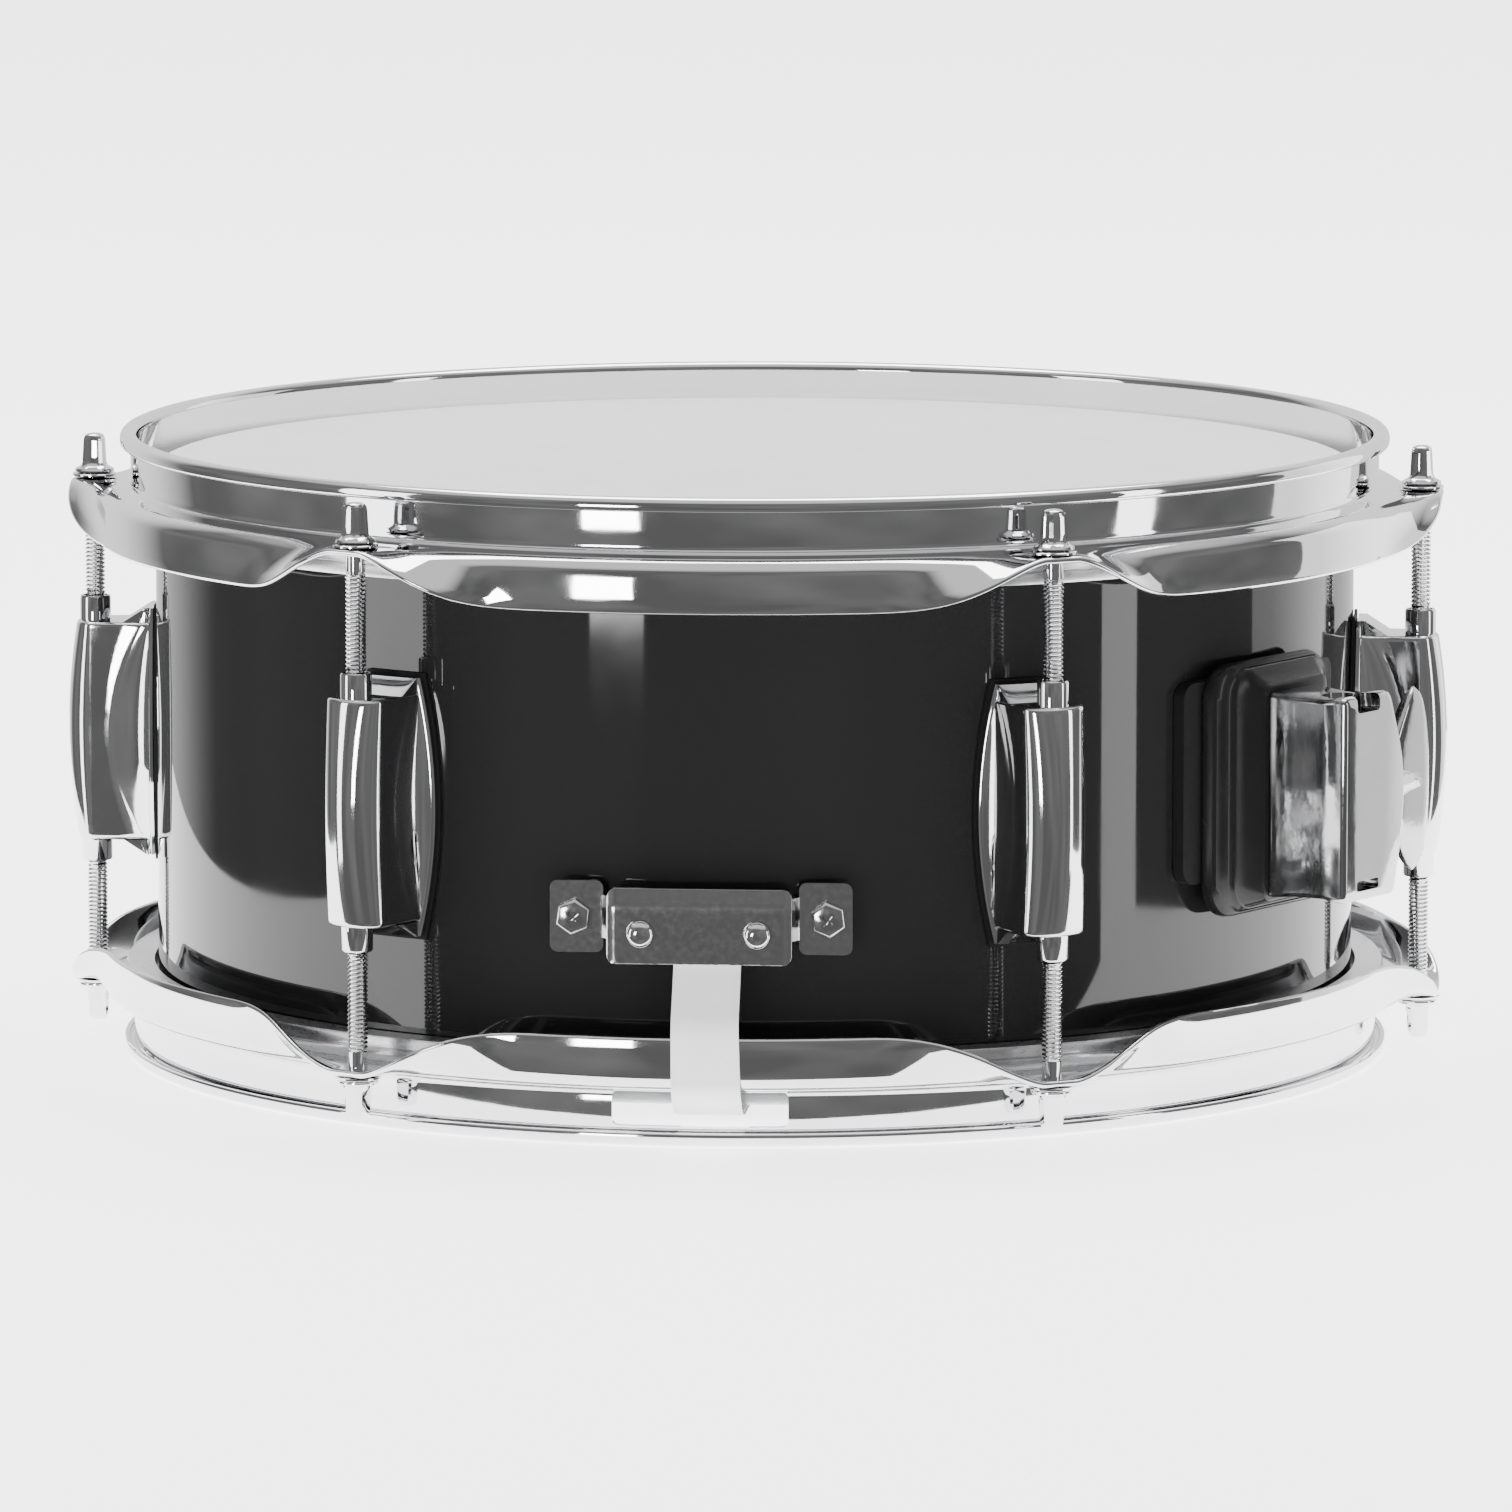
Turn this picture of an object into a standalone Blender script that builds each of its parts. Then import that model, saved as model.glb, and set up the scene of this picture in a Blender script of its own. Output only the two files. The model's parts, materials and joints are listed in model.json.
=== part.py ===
"""A 12 by 5.5 inch side snare drum: shell, heads, hoops, lugs, tension rods, snares and fittings.

Metres, +Z up. The origin is the centre of the batter head's playing face, on the drum's axis.
An azimuth is an angle about the drum's axis from the front, -Y, towards +X. A fitting is modelled
at the front, where "across" is X and "reach" is the distance from the axis along -Y, and is then
turned to its azimuth. A "rise" is a height above the drum's middle plane.
"""

import math

import bmesh
import bpy
from mathutils import Matrix, Vector

MM = 0.001

# The shell and its heads
SHELL_RADIUS = 152.4 * MM
SHELL_DEPTH = 139.7 * MM
SHELL_WALL = 7.0 * MM
BEARING_EDGE = 5.0 * MM
FILM = 0.25 * MM
GAP = 0.3 * MM
COLLAR_DEPTH = 9.4 * MM
HEAD_RISE = SHELL_DEPTH / 2 + GAP + FILM
MIDDLE = -HEAD_RISE
FLESH_HOOP_DEPTH = 6.0 * MM
FLESH_HOOP_TOP = 7.9 * MM
FLESH_HOOP_INNER = 153.4 * MM
FLESH_HOOP_OUTER = 160.6 * MM
ROUND_SIDES = 48

# The hoops
LIP_HEIGHT = 8.8 * MM
HOOP_STEEL = 1.6 * MM
WALL_RADIUS = 157.6 * MM
LIP_RADIUS = 161.4 * MM
SHOULDER_RADIUS = 163.8 * MM
SHOULDER_DROP = 6.5 * MM
EAR_LENGTH = 11.2 * MM
SKIRT_LENGTH = 13.2 * MM
SKIRT_BEND = 2.6 * MM
SKIRT_TILT = math.radians(88)
EAR_HALF_ANGLE = 2.0
SKIRT_FULL_ANGLE = 12.5
EAR_HOLE = 3.3 * MM
HOOP_ANGLES = (-30, -21, -12.5, -8, -5, -2, 0, 2, 5, 8, 12.5, 21)
GATE_WIDTH = 43 * MM
GATE_LOW = 65.9 * MM
GATE_HIGH = 74.5 * MM

# The lugs and tension rods
LUG_AZIMUTHS = (-150, -90, -30, 30, 90, 150)
ROD_CIRCLE = 169.5 * MM
GASKET = 0.8 * MM
LUG_BACK = SHELL_RADIUS + 2 * GAP + GASKET
BARREL_HALF = 28.0 * MM
BARREL_RADIUS = 7.0 * MM
BARREL_HALF_WIDTH = 8.0 * MM
BARREL_BOW = 2.4 * MM
LUG_HALF = 31.8 * MM
BASE_HALF_WIDTH = 12.3 * MM
BASE_END_HALF_WIDTH = 8.0 * MM
SLEEVE_RADIUS = 3.9 * MM
SLEEVE_TOP = 34.2 * MM
BORE_RADIUS = 3.1 * MM
BORE_END = 16.0 * MM
ROD_RADIUS = 2.6 * MM
ROD_END = 20.0 * MM
EAR_TOP = HEAD_RISE - 5.6 * MM
HEAD_SQUARE = 3.15 * MM

# The butt plate and the snares
BUTT_RISE = -25.0 * MM
TAB_HALF_SPAN = 36.8 * MM
TAB_WIDTH = 13.0 * MM
TAB_HALF_HEIGHT = 8.8 * MM
PLATE_STEEL = 1.4 * MM
BRIDGE_REACH = 157.0 * MM
CLAMP_WIDTH = 45.0 * MM
CLAMP_REACH = 159.9 * MM
CLAMP_SCREW_SPREAD = 14.2 * MM
MOUNT_SCREW_SPREAD = 31.0 * MM
STRAP_WIDTH = 16.6 * MM
STRAP = 0.6 * MM
STRAP_END = 127.5 * MM
STRAP_DROP = 1.3 * MM
SNARE_HALF_LENGTH = 127.2 * MM
SNARE_HALF_WIDTH = 26.0 * MM

# The strainer, opposite the butt plate
STRAINER_AZIMUTH = 180
RAIL_OUTER = 15.0 * MM
RAIL_INNER = 10.8 * MM
RAIL_REACH = 170.0 * MM
RAIL_LOW = -28.0 * MM
RAIL_HIGH = 20.0 * MM
SLIDE_REACH = 158.2 * MM
PIVOT_REACH = 167.0 * MM
PIVOT_RISE = -16.0 * MM
KNOB_REACH = 161.0 * MM
CLAMP_LOW = -44.0 * MM
CLAMP_HIGH = -31.0 * MM

# The mounting bracket, right of the front
BRACKET_AZIMUTH = 60
PAD_THICKNESS = 3.0 * MM
BASE_HALF_WIDTH_BACK = 28.2 * MM
BASE_RIGHT = 22.6 * MM
BASE_LOW = -30.8 * MM
BASE_HIGH = 31.8 * MM
BASE_FACE = 158.0 * MM
PLINTH_HALF_WIDTH = 21.3 * MM
PLINTH_FACE = 163.0 * MM
BODY_LEFT = -12.5 * MM
BODY_BULGE = 15.5 * MM
BODY_REACH = 185.3 * MM
BODY_LOW = -26.5 * MM
BODY_HIGH = 24.5 * MM
ROD_HOLE = 5.4 * MM
ROD_HOLE_ACROSS = -2.0 * MM
ROD_HOLE_REACH = 178.0 * MM
WING_RISE = -0.5 * MM

VENT_AZIMUTH = -120
VENT_RADIUS = 5.5 * MM


def clear_scene():
    for old in list(bpy.data.objects):
        bpy.data.objects.remove(old)


def material(name, colour, metallic, roughness):
    made = bpy.data.materials.new(name)
    made.use_nodes = True
    shader = made.node_tree.nodes["Principled BSDF"]
    shader.inputs["Base Color"].default_value = (*colour, 1.0)
    shader.inputs["Metallic"].default_value = metallic
    shader.inputs["Roughness"].default_value = roughness
    return made


def chrome(name):
    return material(name + "_chrome", (0.82, 0.82, 0.83), 1.0, 0.06)


def front_point(across, reach, rise):
    """A point of a fitting at the front, from its place across, its reach and its rise."""
    return Vector((across, -reach, MIDDLE + rise))


def finished(name, mesh, look, corner=30):
    """The object of a mesh, with its faces turned outwards and its round stretches shaded smooth."""
    shape = bmesh.new()
    shape.from_mesh(mesh)
    bmesh.ops.remove_doubles(shape, verts=shape.verts, dist=1e-6)
    bmesh.ops.recalc_face_normals(shape, faces=shape.faces)
    shape.to_mesh(mesh)
    shape.free()
    mesh.shade_smooth()
    mesh.set_sharp_from_angle(angle=math.radians(corner))
    if look:
        mesh.materials.clear()
        mesh.materials.append(look)
    made = bpy.data.objects.new(name, mesh)
    bpy.context.scene.collection.objects.link(made)
    return made


def loft(name, loops, look=None, closed=False):
    """A solid through loops of equally many points, capped at its ends unless it closes on itself."""
    size = len(loops[0])
    points = [point for loop in loops for point in loop]
    spans = len(loops) if closed else len(loops) - 1
    faces = []
    for span in range(spans):
        near = span * size
        far = (span + 1) % len(loops) * size
        for step in range(size):
            after = (step + 1) % size
            faces.append((near + step, near + after, far + after, far + step))
    if not closed:
        faces.append(tuple(range(size)))
        faces.append(tuple(range(len(points) - size, len(points))))
    mesh = bpy.data.meshes.new(name)
    mesh.from_pydata(points, [], faces)
    return finished(name, mesh, look)


def circle(radius, height, sides):
    turns = [math.tau * step / sides for step in range(sides)]
    return [Vector((radius * math.cos(turn), radius * math.sin(turn), height)) for turn in turns]


def square(half, height, sides):
    """A square loop with as many points as a circle of these sides has, which is a multiple of 4."""
    loop = []
    for point in circle(1.0, height, sides):
        longest = max(abs(point.x), abs(point.y))
        loop.append(Vector((half * point.x / longest, half * point.y / longest, height)))
    return loop


def turned(name, profile, sides, look=None):
    """A solid turned about its own Z from (radius, height) pairs, bottom to top."""
    return loft(name, [circle(radius, height, sides) for radius, height in profile], look)


def turned_ring(name, section, look):
    """A ring about the drum's axis with a closed section of (radius, z) pairs."""
    loops = []
    for step in range(ROUND_SIDES):
        turn = math.tau * step / ROUND_SIDES
        loops.append([Vector((r * math.sin(turn), -r * math.cos(turn), z)) for r, z in section])
    return loft(name, loops, look, closed=True)


def extruded(name, outline, place, low, high, look=None):
    """A prism whose outline's pairs are set in space by place(pair, distance along the prism)."""
    return loft(name, [[place(pair, low) for pair in outline], [place(pair, high) for pair in outline]], look)


def across_prism(pair, distance):
    return front_point(distance, pair[0], pair[1])


def upright_prism(pair, distance):
    return front_point(pair[0], pair[1], distance)


def block(name, across, reach, rise, look=None):
    """A box at the front between the two values of each of its three ranges."""
    outline = [(across[0], reach[0]), (across[1], reach[0]), (across[1], reach[1]), (across[0], reach[1])]
    return extruded(name, outline, upright_prism, rise[0], rise[1], look)


def thickened(path, thickness):
    """The closed outline of a strip of even thickness along a path of pairs, with mitred corners."""
    spots = [Vector(pair) for pair in path]
    left = []
    right = []
    for index, spot in enumerate(spots):
        before = (spot - spots[index - 1]).normalized() if index else None
        after = (spots[index + 1] - spot).normalized() if index + 1 < len(spots) else None
        before = before or after
        after = after or before
        along = (before + after).normalized()
        side = Vector((-along.y, along.x))
        width = thickness / 2 / max(0.4, along.dot(after))
        left.append(tuple(spot + side * width))
        right.append(tuple(spot - side * width))
    return left + right[::-1]


def change(target, tool, operation):
    """Joins a tool to the target or cuts it away, and removes the tool."""
    modifier = target.modifiers.new(operation, "BOOLEAN")
    modifier.operation = operation
    modifier.solver = "EXACT"
    modifier.object = tool
    graph = bpy.context.evaluated_depsgraph_get()
    mesh = bpy.data.meshes.new_from_object(target.evaluated_get(graph))
    shape = bmesh.new()
    shape.from_mesh(mesh)
    bmesh.ops.remove_doubles(shape, verts=shape.verts, dist=2e-6)
    bmesh.ops.dissolve_degenerate(shape, edges=shape.edges, dist=1e-6)
    shape.to_mesh(mesh)
    shape.free()
    target.modifiers.clear()
    target.data = mesh
    bpy.data.objects.remove(tool)
    bpy.context.view_layer.update()


def peg(radius, low, high, sides, where, turn=None):
    """A round tool from low to high along its own Z, which turn can lay down."""
    tool = turned("peg", [(radius, low), (radius, high)], sides)
    tool.matrix_world = Matrix.Translation(where) @ (turn or Matrix())
    bpy.context.view_layer.update()
    return tool


OUTWARD = Matrix.Rotation(math.radians(90), 4, "X")
SIDEWAYS = Matrix.Rotation(math.radians(90), 4, "Y")


def stand_at(made, azimuth):
    """Turns a fitting that was modelled at the front to its azimuth."""
    made.rotation_euler = (0, 0, math.radians(azimuth))
    return made


def settle(made, place, azimuth):
    """Puts a moving piece's origin at a place of the front, then turns both to their azimuth."""
    made.data.transform(Matrix.Translation(-place))
    made.location = Matrix.Rotation(math.radians(azimuth), 3, "Z") @ place
    return stand_at(made, azimuth)


def wrapped(name, rows, back, face, columns, look):
    """A pad on the round shell: rows are (rise, half width), and back and face give reach across a row."""
    loops = []
    for rise, half_width in rows:
        steps = [half_width * (2 * column / columns - 1) for column in range(columns + 1)]
        behind = [front_point(across, back(across), rise) for across in steps]
        before = [front_point(across, face(across, rise), rise) for across in reversed(steps)]
        loops.append(behind + before)
    return loft(name, loops, look)


def round_reach(radius):
    """The reach of a round surface about the drum's axis at each place across."""
    return lambda across, rise=0.0: math.sqrt(radius * radius - across * across)


def bowed_rows(half_height, half_width, end_half_width, count):
    """Rows of a pad whose sides bow out towards its middle."""
    rows = []
    for step in range(count + 1):
        share = 2 * step / count - 1
        bow = (half_width - end_half_width) * (1 - share * share)
        rows.append((half_height * share, end_half_width + bow))
    return rows


def rounded_rows(low, high, half_width, corner):
    """Rows of a pad with rounded corners."""
    rows = []
    for turn in (0, 30, 60, 90):
        inset = corner * (1 - math.sin(math.radians(turn)))
        rows.append((low + corner * (1 - math.cos(math.radians(turn))), half_width - inset))
    return rows + [(low + high - rise, width) for rise, width in reversed(rows)]


def make_shell():
    look = material("black_lacquer", (0.01, 0.01, 0.011), 0.0, 0.08)
    half = SHELL_DEPTH / 2
    inner = SHELL_RADIUS - SHELL_WALL
    crown = SHELL_RADIUS - 2.2 * MM
    upper = [
        (inner, half - BEARING_EDGE),
        (crown - 0.8 * MM, half),
        (crown, half),
        (SHELL_RADIUS, half - 2.0 * MM),
    ]
    section = [(r, MIDDLE + rise) for r, rise in upper]
    section += [(r, MIDDLE - rise) for r, rise in reversed(upper)]
    shell = turned_ring("shell", section, look)
    for spread in (-MOUNT_SCREW_SPREAD, MOUNT_SCREW_SPREAD):
        hole = front_point(spread, SHELL_RADIUS, BUTT_RISE + 1.2 * MM)
        change(shell, peg(2.3 * MM, -SHELL_WALL * 2, SHELL_WALL * 2, 8, hole, OUTWARD), "DIFFERENCE")
    vent_turn = Matrix.Rotation(math.radians(VENT_AZIMUTH), 4, "Z")
    vent = vent_turn @ front_point(0, SHELL_RADIUS, 0)
    change(shell, peg(VENT_RADIUS, -12 * MM, 8 * MM, 12, vent, vent_turn @ OUTWARD), "DIFFERENCE")


def make_vent_grommet():
    look = material("vent_grommet_steel", (0.75, 0.75, 0.76), 1.0, 0.15)
    outer = VENT_RADIUS - 0.6 * MM
    inner = 3.2 * MM
    front = SHELL_RADIUS + 0.5 * MM
    back = SHELL_RADIUS - SHELL_WALL - 1.0 * MM
    section = [(inner, back), (outer, back), (outer, front), (outer + 3 * MM, front),
               (outer + 2.4 * MM, front + 1.6 * MM), (inner, front + 1.6 * MM)]
    loops = []
    for point in circle(1.0, 0, 12):
        loops.append([front_point(r * point.x, reach, r * point.y) for r, reach in section])
    stand_at(loft("vent_grommet", loops, look, closed=True), VENT_AZIMUTH)


def make_head(side, name, look):
    """The film of one head: a flat face whose collar hangs over the shell. side is 1 for the top."""
    outline = [
        (150.4 * MM, -FILM),
        (152.75 * MM, -1.9 * MM),
        (152.75 * MM, -COLLAR_DEPTH),
        (153.0 * MM, -COLLAR_DEPTH),
        (153.0 * MM, -1.8 * MM),
        (150.6 * MM, 0.0),
    ]
    loops = [circle(radius, MIDDLE + side * (HEAD_RISE + drop), ROUND_SIDES) for radius, drop in outline]
    return loft(name, loops, look)


def make_flesh_hoop(side, name, look):
    top = HEAD_RISE - FLESH_HOOP_TOP
    low = top - FLESH_HOOP_DEPTH
    chamfer = 0.8 * MM
    section = [
        (FLESH_HOOP_INNER, low),
        (FLESH_HOOP_OUTER - chamfer, low),
        (FLESH_HOOP_OUTER, low + chamfer),
        (FLESH_HOOP_OUTER, top - chamfer),
        (FLESH_HOOP_OUTER - chamfer, top),
        (FLESH_HOOP_INNER, top),
    ]
    return turned_ring(name, [(r, MIDDLE + side * rise) for r, rise in section], look)


def make_heads():
    coated = material("coated_film", (0.86, 0.86, 0.85), 0.0, 0.55)
    clear = material("clear_film", (0.80, 0.82, 0.83), 0.0, 0.15)
    aluminium = material("flesh_hoop_aluminium", (0.72, 0.72, 0.73), 1.0, 0.35)
    make_head(1, "batter_head", coated)
    make_head(-1, "snare_head", clear)
    make_flesh_hoop(1, "batter_flesh_hoop", aluminium)
    make_flesh_hoop(-1, "snare_flesh_hoop", aluminium)


def skirt_share(azimuth):
    """0 at a lug's ear, where the hoop's third flange lies flat, and 1 where it hangs as the skirt."""
    away = abs(azimuth % 60 - 30)
    share = (away - EAR_HALF_ANGLE) / (SKIRT_FULL_ANGLE - EAR_HALF_ANGLE)
    share = min(1.0, max(0.0, share))
    return share * share * (3 - 2 * share)


def hoop_section(azimuth):
    """The hoop's section of (radius, rise) pairs: lip, wall, shoulder, and the flange that ends it."""
    share = skirt_share(azimuth)
    tilt = SKIRT_TILT * share
    length = EAR_LENGTH + (SKIRT_LENGTH - EAR_LENGTH) * share
    start = Vector((SHOULDER_RADIUS, -SHOULDER_DROP))
    bend = start + SKIRT_BEND * Vector((math.cos(tilt / 2), -math.sin(tilt / 2)))
    end = bend + (length - SKIRT_BEND) * Vector((math.cos(tilt), -math.sin(tilt)))
    lip = LIP_HEIGHT - HOOP_STEEL / 2
    path = [
        (LIP_RADIUS, lip),
        (WALL_RADIUS, lip),
        (WALL_RADIUS, -5.2 * MM),
        tuple(start),
        tuple(bend),
        tuple(end),
    ]
    return [(radius, HEAD_RISE + rise) for radius, rise in thickened(path, HOOP_STEEL)]


def make_hoop(side, name):
    loops = []
    for centre in LUG_AZIMUTHS:
        for offset in HOOP_ANGLES:
            azimuth = centre + offset
            turn = math.radians(azimuth)
            loop = []
            for radius, rise in hoop_section(azimuth):
                loop.append(Vector((radius * math.sin(turn), -radius * math.cos(turn), MIDDLE + side * rise)))
            loops.append(loop)
    hoop = loft(name, loops, chrome(name), closed=True)
    for azimuth in LUG_AZIMUTHS:
        turn = Matrix.Rotation(math.radians(azimuth), 4, "Z")
        ear = turn @ front_point(0, ROD_CIRCLE, side * EAR_TOP)
        change(hoop, peg(EAR_HOLE, -5 * MM, 5 * MM, 8, ear, turn), "DIFFERENCE")
    return hoop


def make_hoops():
    make_hoop(1, "batter_hoop")
    snare_hoop = make_hoop(-1, "snare_hoop")
    for azimuth in (0, STRAINER_AZIMUTH):
        gate = block(
            "gate",
            (-GATE_WIDTH / 2, GATE_WIDTH / 2),
            (145 * MM, WALL_RADIUS + 3 * MM),
            (-GATE_HIGH, -GATE_LOW),
        )
        stand_at(gate, azimuth)
        bpy.context.view_layer.update()
        change(snare_hoop, gate, "DIFFERENCE")


def lug_loop(rise):
    """The lug's outline at one height: base, hollow cheeks, flat web and round barrel."""
    share = abs(rise) / BARREL_HALF
    base = BASE_END_HALF_WIDTH + (BASE_HALF_WIDTH - BASE_END_HALF_WIDTH) * (1 - (rise / LUG_HALF) ** 2)
    if share <= 1.0001:
        bow = BARREL_BOW * (1 - share * share)
        shoulder = ROD_CIRCLE
        depth = BARREL_RADIUS - BARREL_BOW + bow
        crease = (156.2 + 8.6 * (1 - share * share)) * MM
    else:
        fade = (abs(rise) - BARREL_HALF) / (LUG_HALF - BARREL_HALF)
        shoulder = (160.0 - 4.4 * fade) * MM
        depth = 0.6 * MM
        crease = (156.0 - 0.6 * fade) * MM
    back = round_reach(LUG_BACK)
    web = BARREL_HALF_WIDTH
    hollow = web + (base - web) * 0.3
    side = [
        (base, back(base)),
        (base, back(base) + 1.0 * MM),
        (base - 0.6 * MM, back(base) + 1.4 * MM),
        (hollow, back(base) + 1.4 * MM + (crease - back(base) - 1.4 * MM) * 0.38),
        (web, crease),
        (web, shoulder),
    ]
    for turn in (30, 60):
        angle = math.radians(turn)
        side.append((web * math.cos(angle), shoulder + depth * math.sin(angle)))
    pairs = [(0.0, LUG_BACK), *side, (0.0, shoulder + depth)]
    pairs += [(-across, reach) for across, reach in reversed(side)]
    return [front_point(across, reach, rise) for across, reach in pairs]


def make_lugs():
    look = chrome("lug")
    half = [0.0, 14.0 * MM, 22.5 * MM, BARREL_HALF, BARREL_HALF + 0.9 * MM, LUG_HALF]
    rises = [-rise for rise in reversed(half[1:])] + half
    master = loft("lug_1", [lug_loop(rise) for rise in rises], look)
    for side in (-1, 1):
        end = front_point(0, ROD_CIRCLE, 0)
        low, high = sorted((side * (BARREL_HALF - 2 * MM), side * SLEEVE_TOP))
        change(master, peg(SLEEVE_RADIUS, low, high, 10, end), "UNION")
        low, high = sorted((side * BORE_END, side * (SLEEVE_TOP + 2 * MM)))
        change(master, peg(BORE_RADIUS, low, high, 10, end), "DIFFERENCE")
    rubber = material("gasket_rubber", (0.02, 0.02, 0.02), 0.0, 0.6)
    rows = bowed_rows(LUG_HALF + 1.0 * MM, BASE_HALF_WIDTH + 0.7 * MM, BASE_END_HALF_WIDTH + 0.7 * MM, 6)
    back = round_reach(SHELL_RADIUS + GAP)
    gasket = wrapped("lug_gasket_1", rows, back, round_reach(SHELL_RADIUS + GAP + GASKET), 4, rubber)
    copies(master, "lug_")
    copies(gasket, "lug_gasket_")


def copies(master, prefix):
    """Sets a fitting at the first lug's azimuth, and copies of it at the others."""
    for number, azimuth in enumerate(LUG_AZIMUTHS, start=1):
        made = master
        if number > 1:
            made = bpy.data.objects.new(f"{prefix}{number}", master.data)
            bpy.context.scene.collection.objects.link(made)
        stand_at(made, azimuth)


def make_tension_rods():
    """A rod's origin is on its axis at the ear's top. The lower rods are the same rod upside down."""
    sides = 8
    collar = [(ROD_RADIUS, GAP), (5.6 * MM, GAP), (5.6 * MM, 1.4 * MM), (5.0 * MM, 2.9 * MM)]
    end = ROD_END - EAR_TOP
    loops = [circle(ROD_RADIUS * 0.8, end, sides), circle(ROD_RADIUS, end + MM, sides)]
    loops += [circle(radius, height, sides) for radius, height in collar]
    loops += [square(HEAD_SQUARE, 3.1 * MM, sides), square(HEAD_SQUARE * 0.93, 10.9 * MM, sides)]
    loops.append(square(HEAD_SQUARE * 0.7, 11.7 * MM, sides))
    master = loft("rod_master", loops, chrome("tension_rod"))
    mesh = master.data
    bpy.data.objects.remove(master)
    for side, prefix in ((1, "batter_rod_"), (-1, "snare_rod_")):
        for number, azimuth in enumerate(LUG_AZIMUTHS, start=1):
            rod = bpy.data.objects.new(f"{prefix}{number}", mesh)
            bpy.context.scene.collection.objects.link(rod)
            turn = math.radians(azimuth)
            level = MIDDLE + side * EAR_TOP
            rod.location = (ROD_CIRCLE * math.sin(turn), -ROD_CIRCLE * math.cos(turn), level)
            rod.rotation_euler = (0.0 if side > 0 else math.pi, 0, turn)


def strap_path(clamp_reach, clamp_top, clamp_bottom):
    """A strap from its clamp, over the lower hoop's skirt and in through the gate to the snares."""
    under = -(HEAD_RISE + STRAP_DROP)
    outside = 168.1 * MM
    return [
        (clamp_reach, clamp_top),
        (clamp_reach, clamp_bottom),
        (outside - 0.4 * MM, -48.5 * MM),
        (outside, -53.0 * MM),
        (outside, -64.5 * MM),
        (outside - 2.2 * MM, -68.0 * MM),
        (outside - 6.5 * MM, -70.8 * MM),
        (WALL_RADIUS - 2.5 * MM, under),
        (STRAP_END, under),
    ]


def make_strap(name, path, azimuth):
    look = material("strap_plastic", (0.9, 0.9, 0.9), 0.0, 0.35)
    half = STRAP_WIDTH / 2
    stand_at(extruded(name, thickened(path, STRAP), across_prism, -half, half, look), azimuth)


def screw(name, head_radius, head_height, shank_radius, length, sides, look):
    """A screw whose origin is under its head and whose head points along its own Z."""
    profile = [
        (shank_radius * 0.7, -length),
        (shank_radius, -length + 0.5 * MM),
        (shank_radius, 0.0),
        (head_radius, 0.0),
        (head_radius, head_height * 0.5),
        (head_radius * 0.66, head_height),
    ]
    return turned(name, profile, sides, look)


def place_screw(made, across, reach, rise, azimuth):
    turn = Matrix.Rotation(math.radians(azimuth), 4, "Z")
    made.matrix_world = turn @ Matrix.Translation(front_point(across, reach, rise)) @ OUTWARD


def make_butt():
    steel = chrome("butt")
    neck = TAB_HALF_SPAN - TAB_WIDTH
    tab_reach = SHELL_RADIUS + GAP + PLATE_STEEL / 2
    path = [(-TAB_HALF_SPAN, tab_reach), (-neck, tab_reach), (-neck + 2.5 * MM, BRIDGE_REACH)]
    path += [(-across, reach) for across, reach in reversed(path)]
    low = BUTT_RISE + 1.2 * MM - TAB_HALF_HEIGHT
    high = BUTT_RISE + 1.2 * MM + TAB_HALF_HEIGHT
    bracket = extruded("butt_bracket", thickened(path, PLATE_STEEL), upright_prism, low, high, steel)
    for side in (-1, 1):
        for edge in ((high - 3.6 * MM, high + MM), (low - MM, low + 3.6 * MM)):
            across = sorted((side * (neck - 2.2 * MM), side * (neck + 0.4 * MM)))
            notch = block("notch", across, (150 * MM, 160 * MM), edge)
            change(bracket, notch, "DIFFERENCE")
        hole = front_point(side * MOUNT_SCREW_SPREAD, SHELL_RADIUS, BUTT_RISE + 1.2 * MM)
        change(bracket, peg(2.3 * MM, -9 * MM, 9 * MM, 8, hole, OUTWARD), "DIFFERENCE")
        hole = front_point(side * CLAMP_SCREW_SPREAD, BRIDGE_REACH, BUTT_RISE - 2.0 * MM)
        change(bracket, peg(2.1 * MM, -5 * MM, 5 * MM, 8, hole, OUTWARD), "DIFFERENCE")
    bottom = BUTT_RISE - 9.4 * MM
    bend = BUTT_RISE + 4.5 * MM
    top = BUTT_RISE + 8.9 * MM
    face = [(CLAMP_REACH, bottom), (CLAMP_REACH, bend), (CLAMP_REACH - 1.4 * MM, top)]
    half = CLAMP_WIDTH / 2
    outline = thickened(face, PLATE_STEEL)
    plate = extruded("butt_clamp_plate", outline, across_prism, -half, half, chrome("clamp"))
    for number, spread in enumerate((-CLAMP_SCREW_SPREAD, CLAMP_SCREW_SPREAD), start=1):
        hole = front_point(spread, CLAMP_REACH, BUTT_RISE - 2.0 * MM)
        change(plate, peg(2.1 * MM, -5 * MM, 5 * MM, 8, hole, OUTWARD), "DIFFERENCE")
        name = f"butt_clamp_screw_{number}"
        made = screw(name, 3.45 * MM, 2.6 * MM, 1.6 * MM, 5.0 * MM, 8, chrome("screw"))
        place_screw(made, spread, CLAMP_REACH + PLATE_STEEL / 2 + GAP, BUTT_RISE - 2.0 * MM, 0)
    for number, spread in enumerate((-MOUNT_SCREW_SPREAD, MOUNT_SCREW_SPREAD), start=1):
        made = screw(f"butt_mount_screw_{number}", 4.4 * MM, 2.4 * MM, 1.8 * MM, 9.5 * MM, 6, chrome("screw"))
        place_screw(made, spread, tab_reach + PLATE_STEEL / 2 + GAP, BUTT_RISE + 1.2 * MM, 0)
    reach = (BRIDGE_REACH + CLAMP_REACH) / 2
    make_strap("butt_strap", strap_path(reach, BUTT_RISE + 3.5 * MM, BUTT_RISE - 9.8 * MM), 0)


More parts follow.
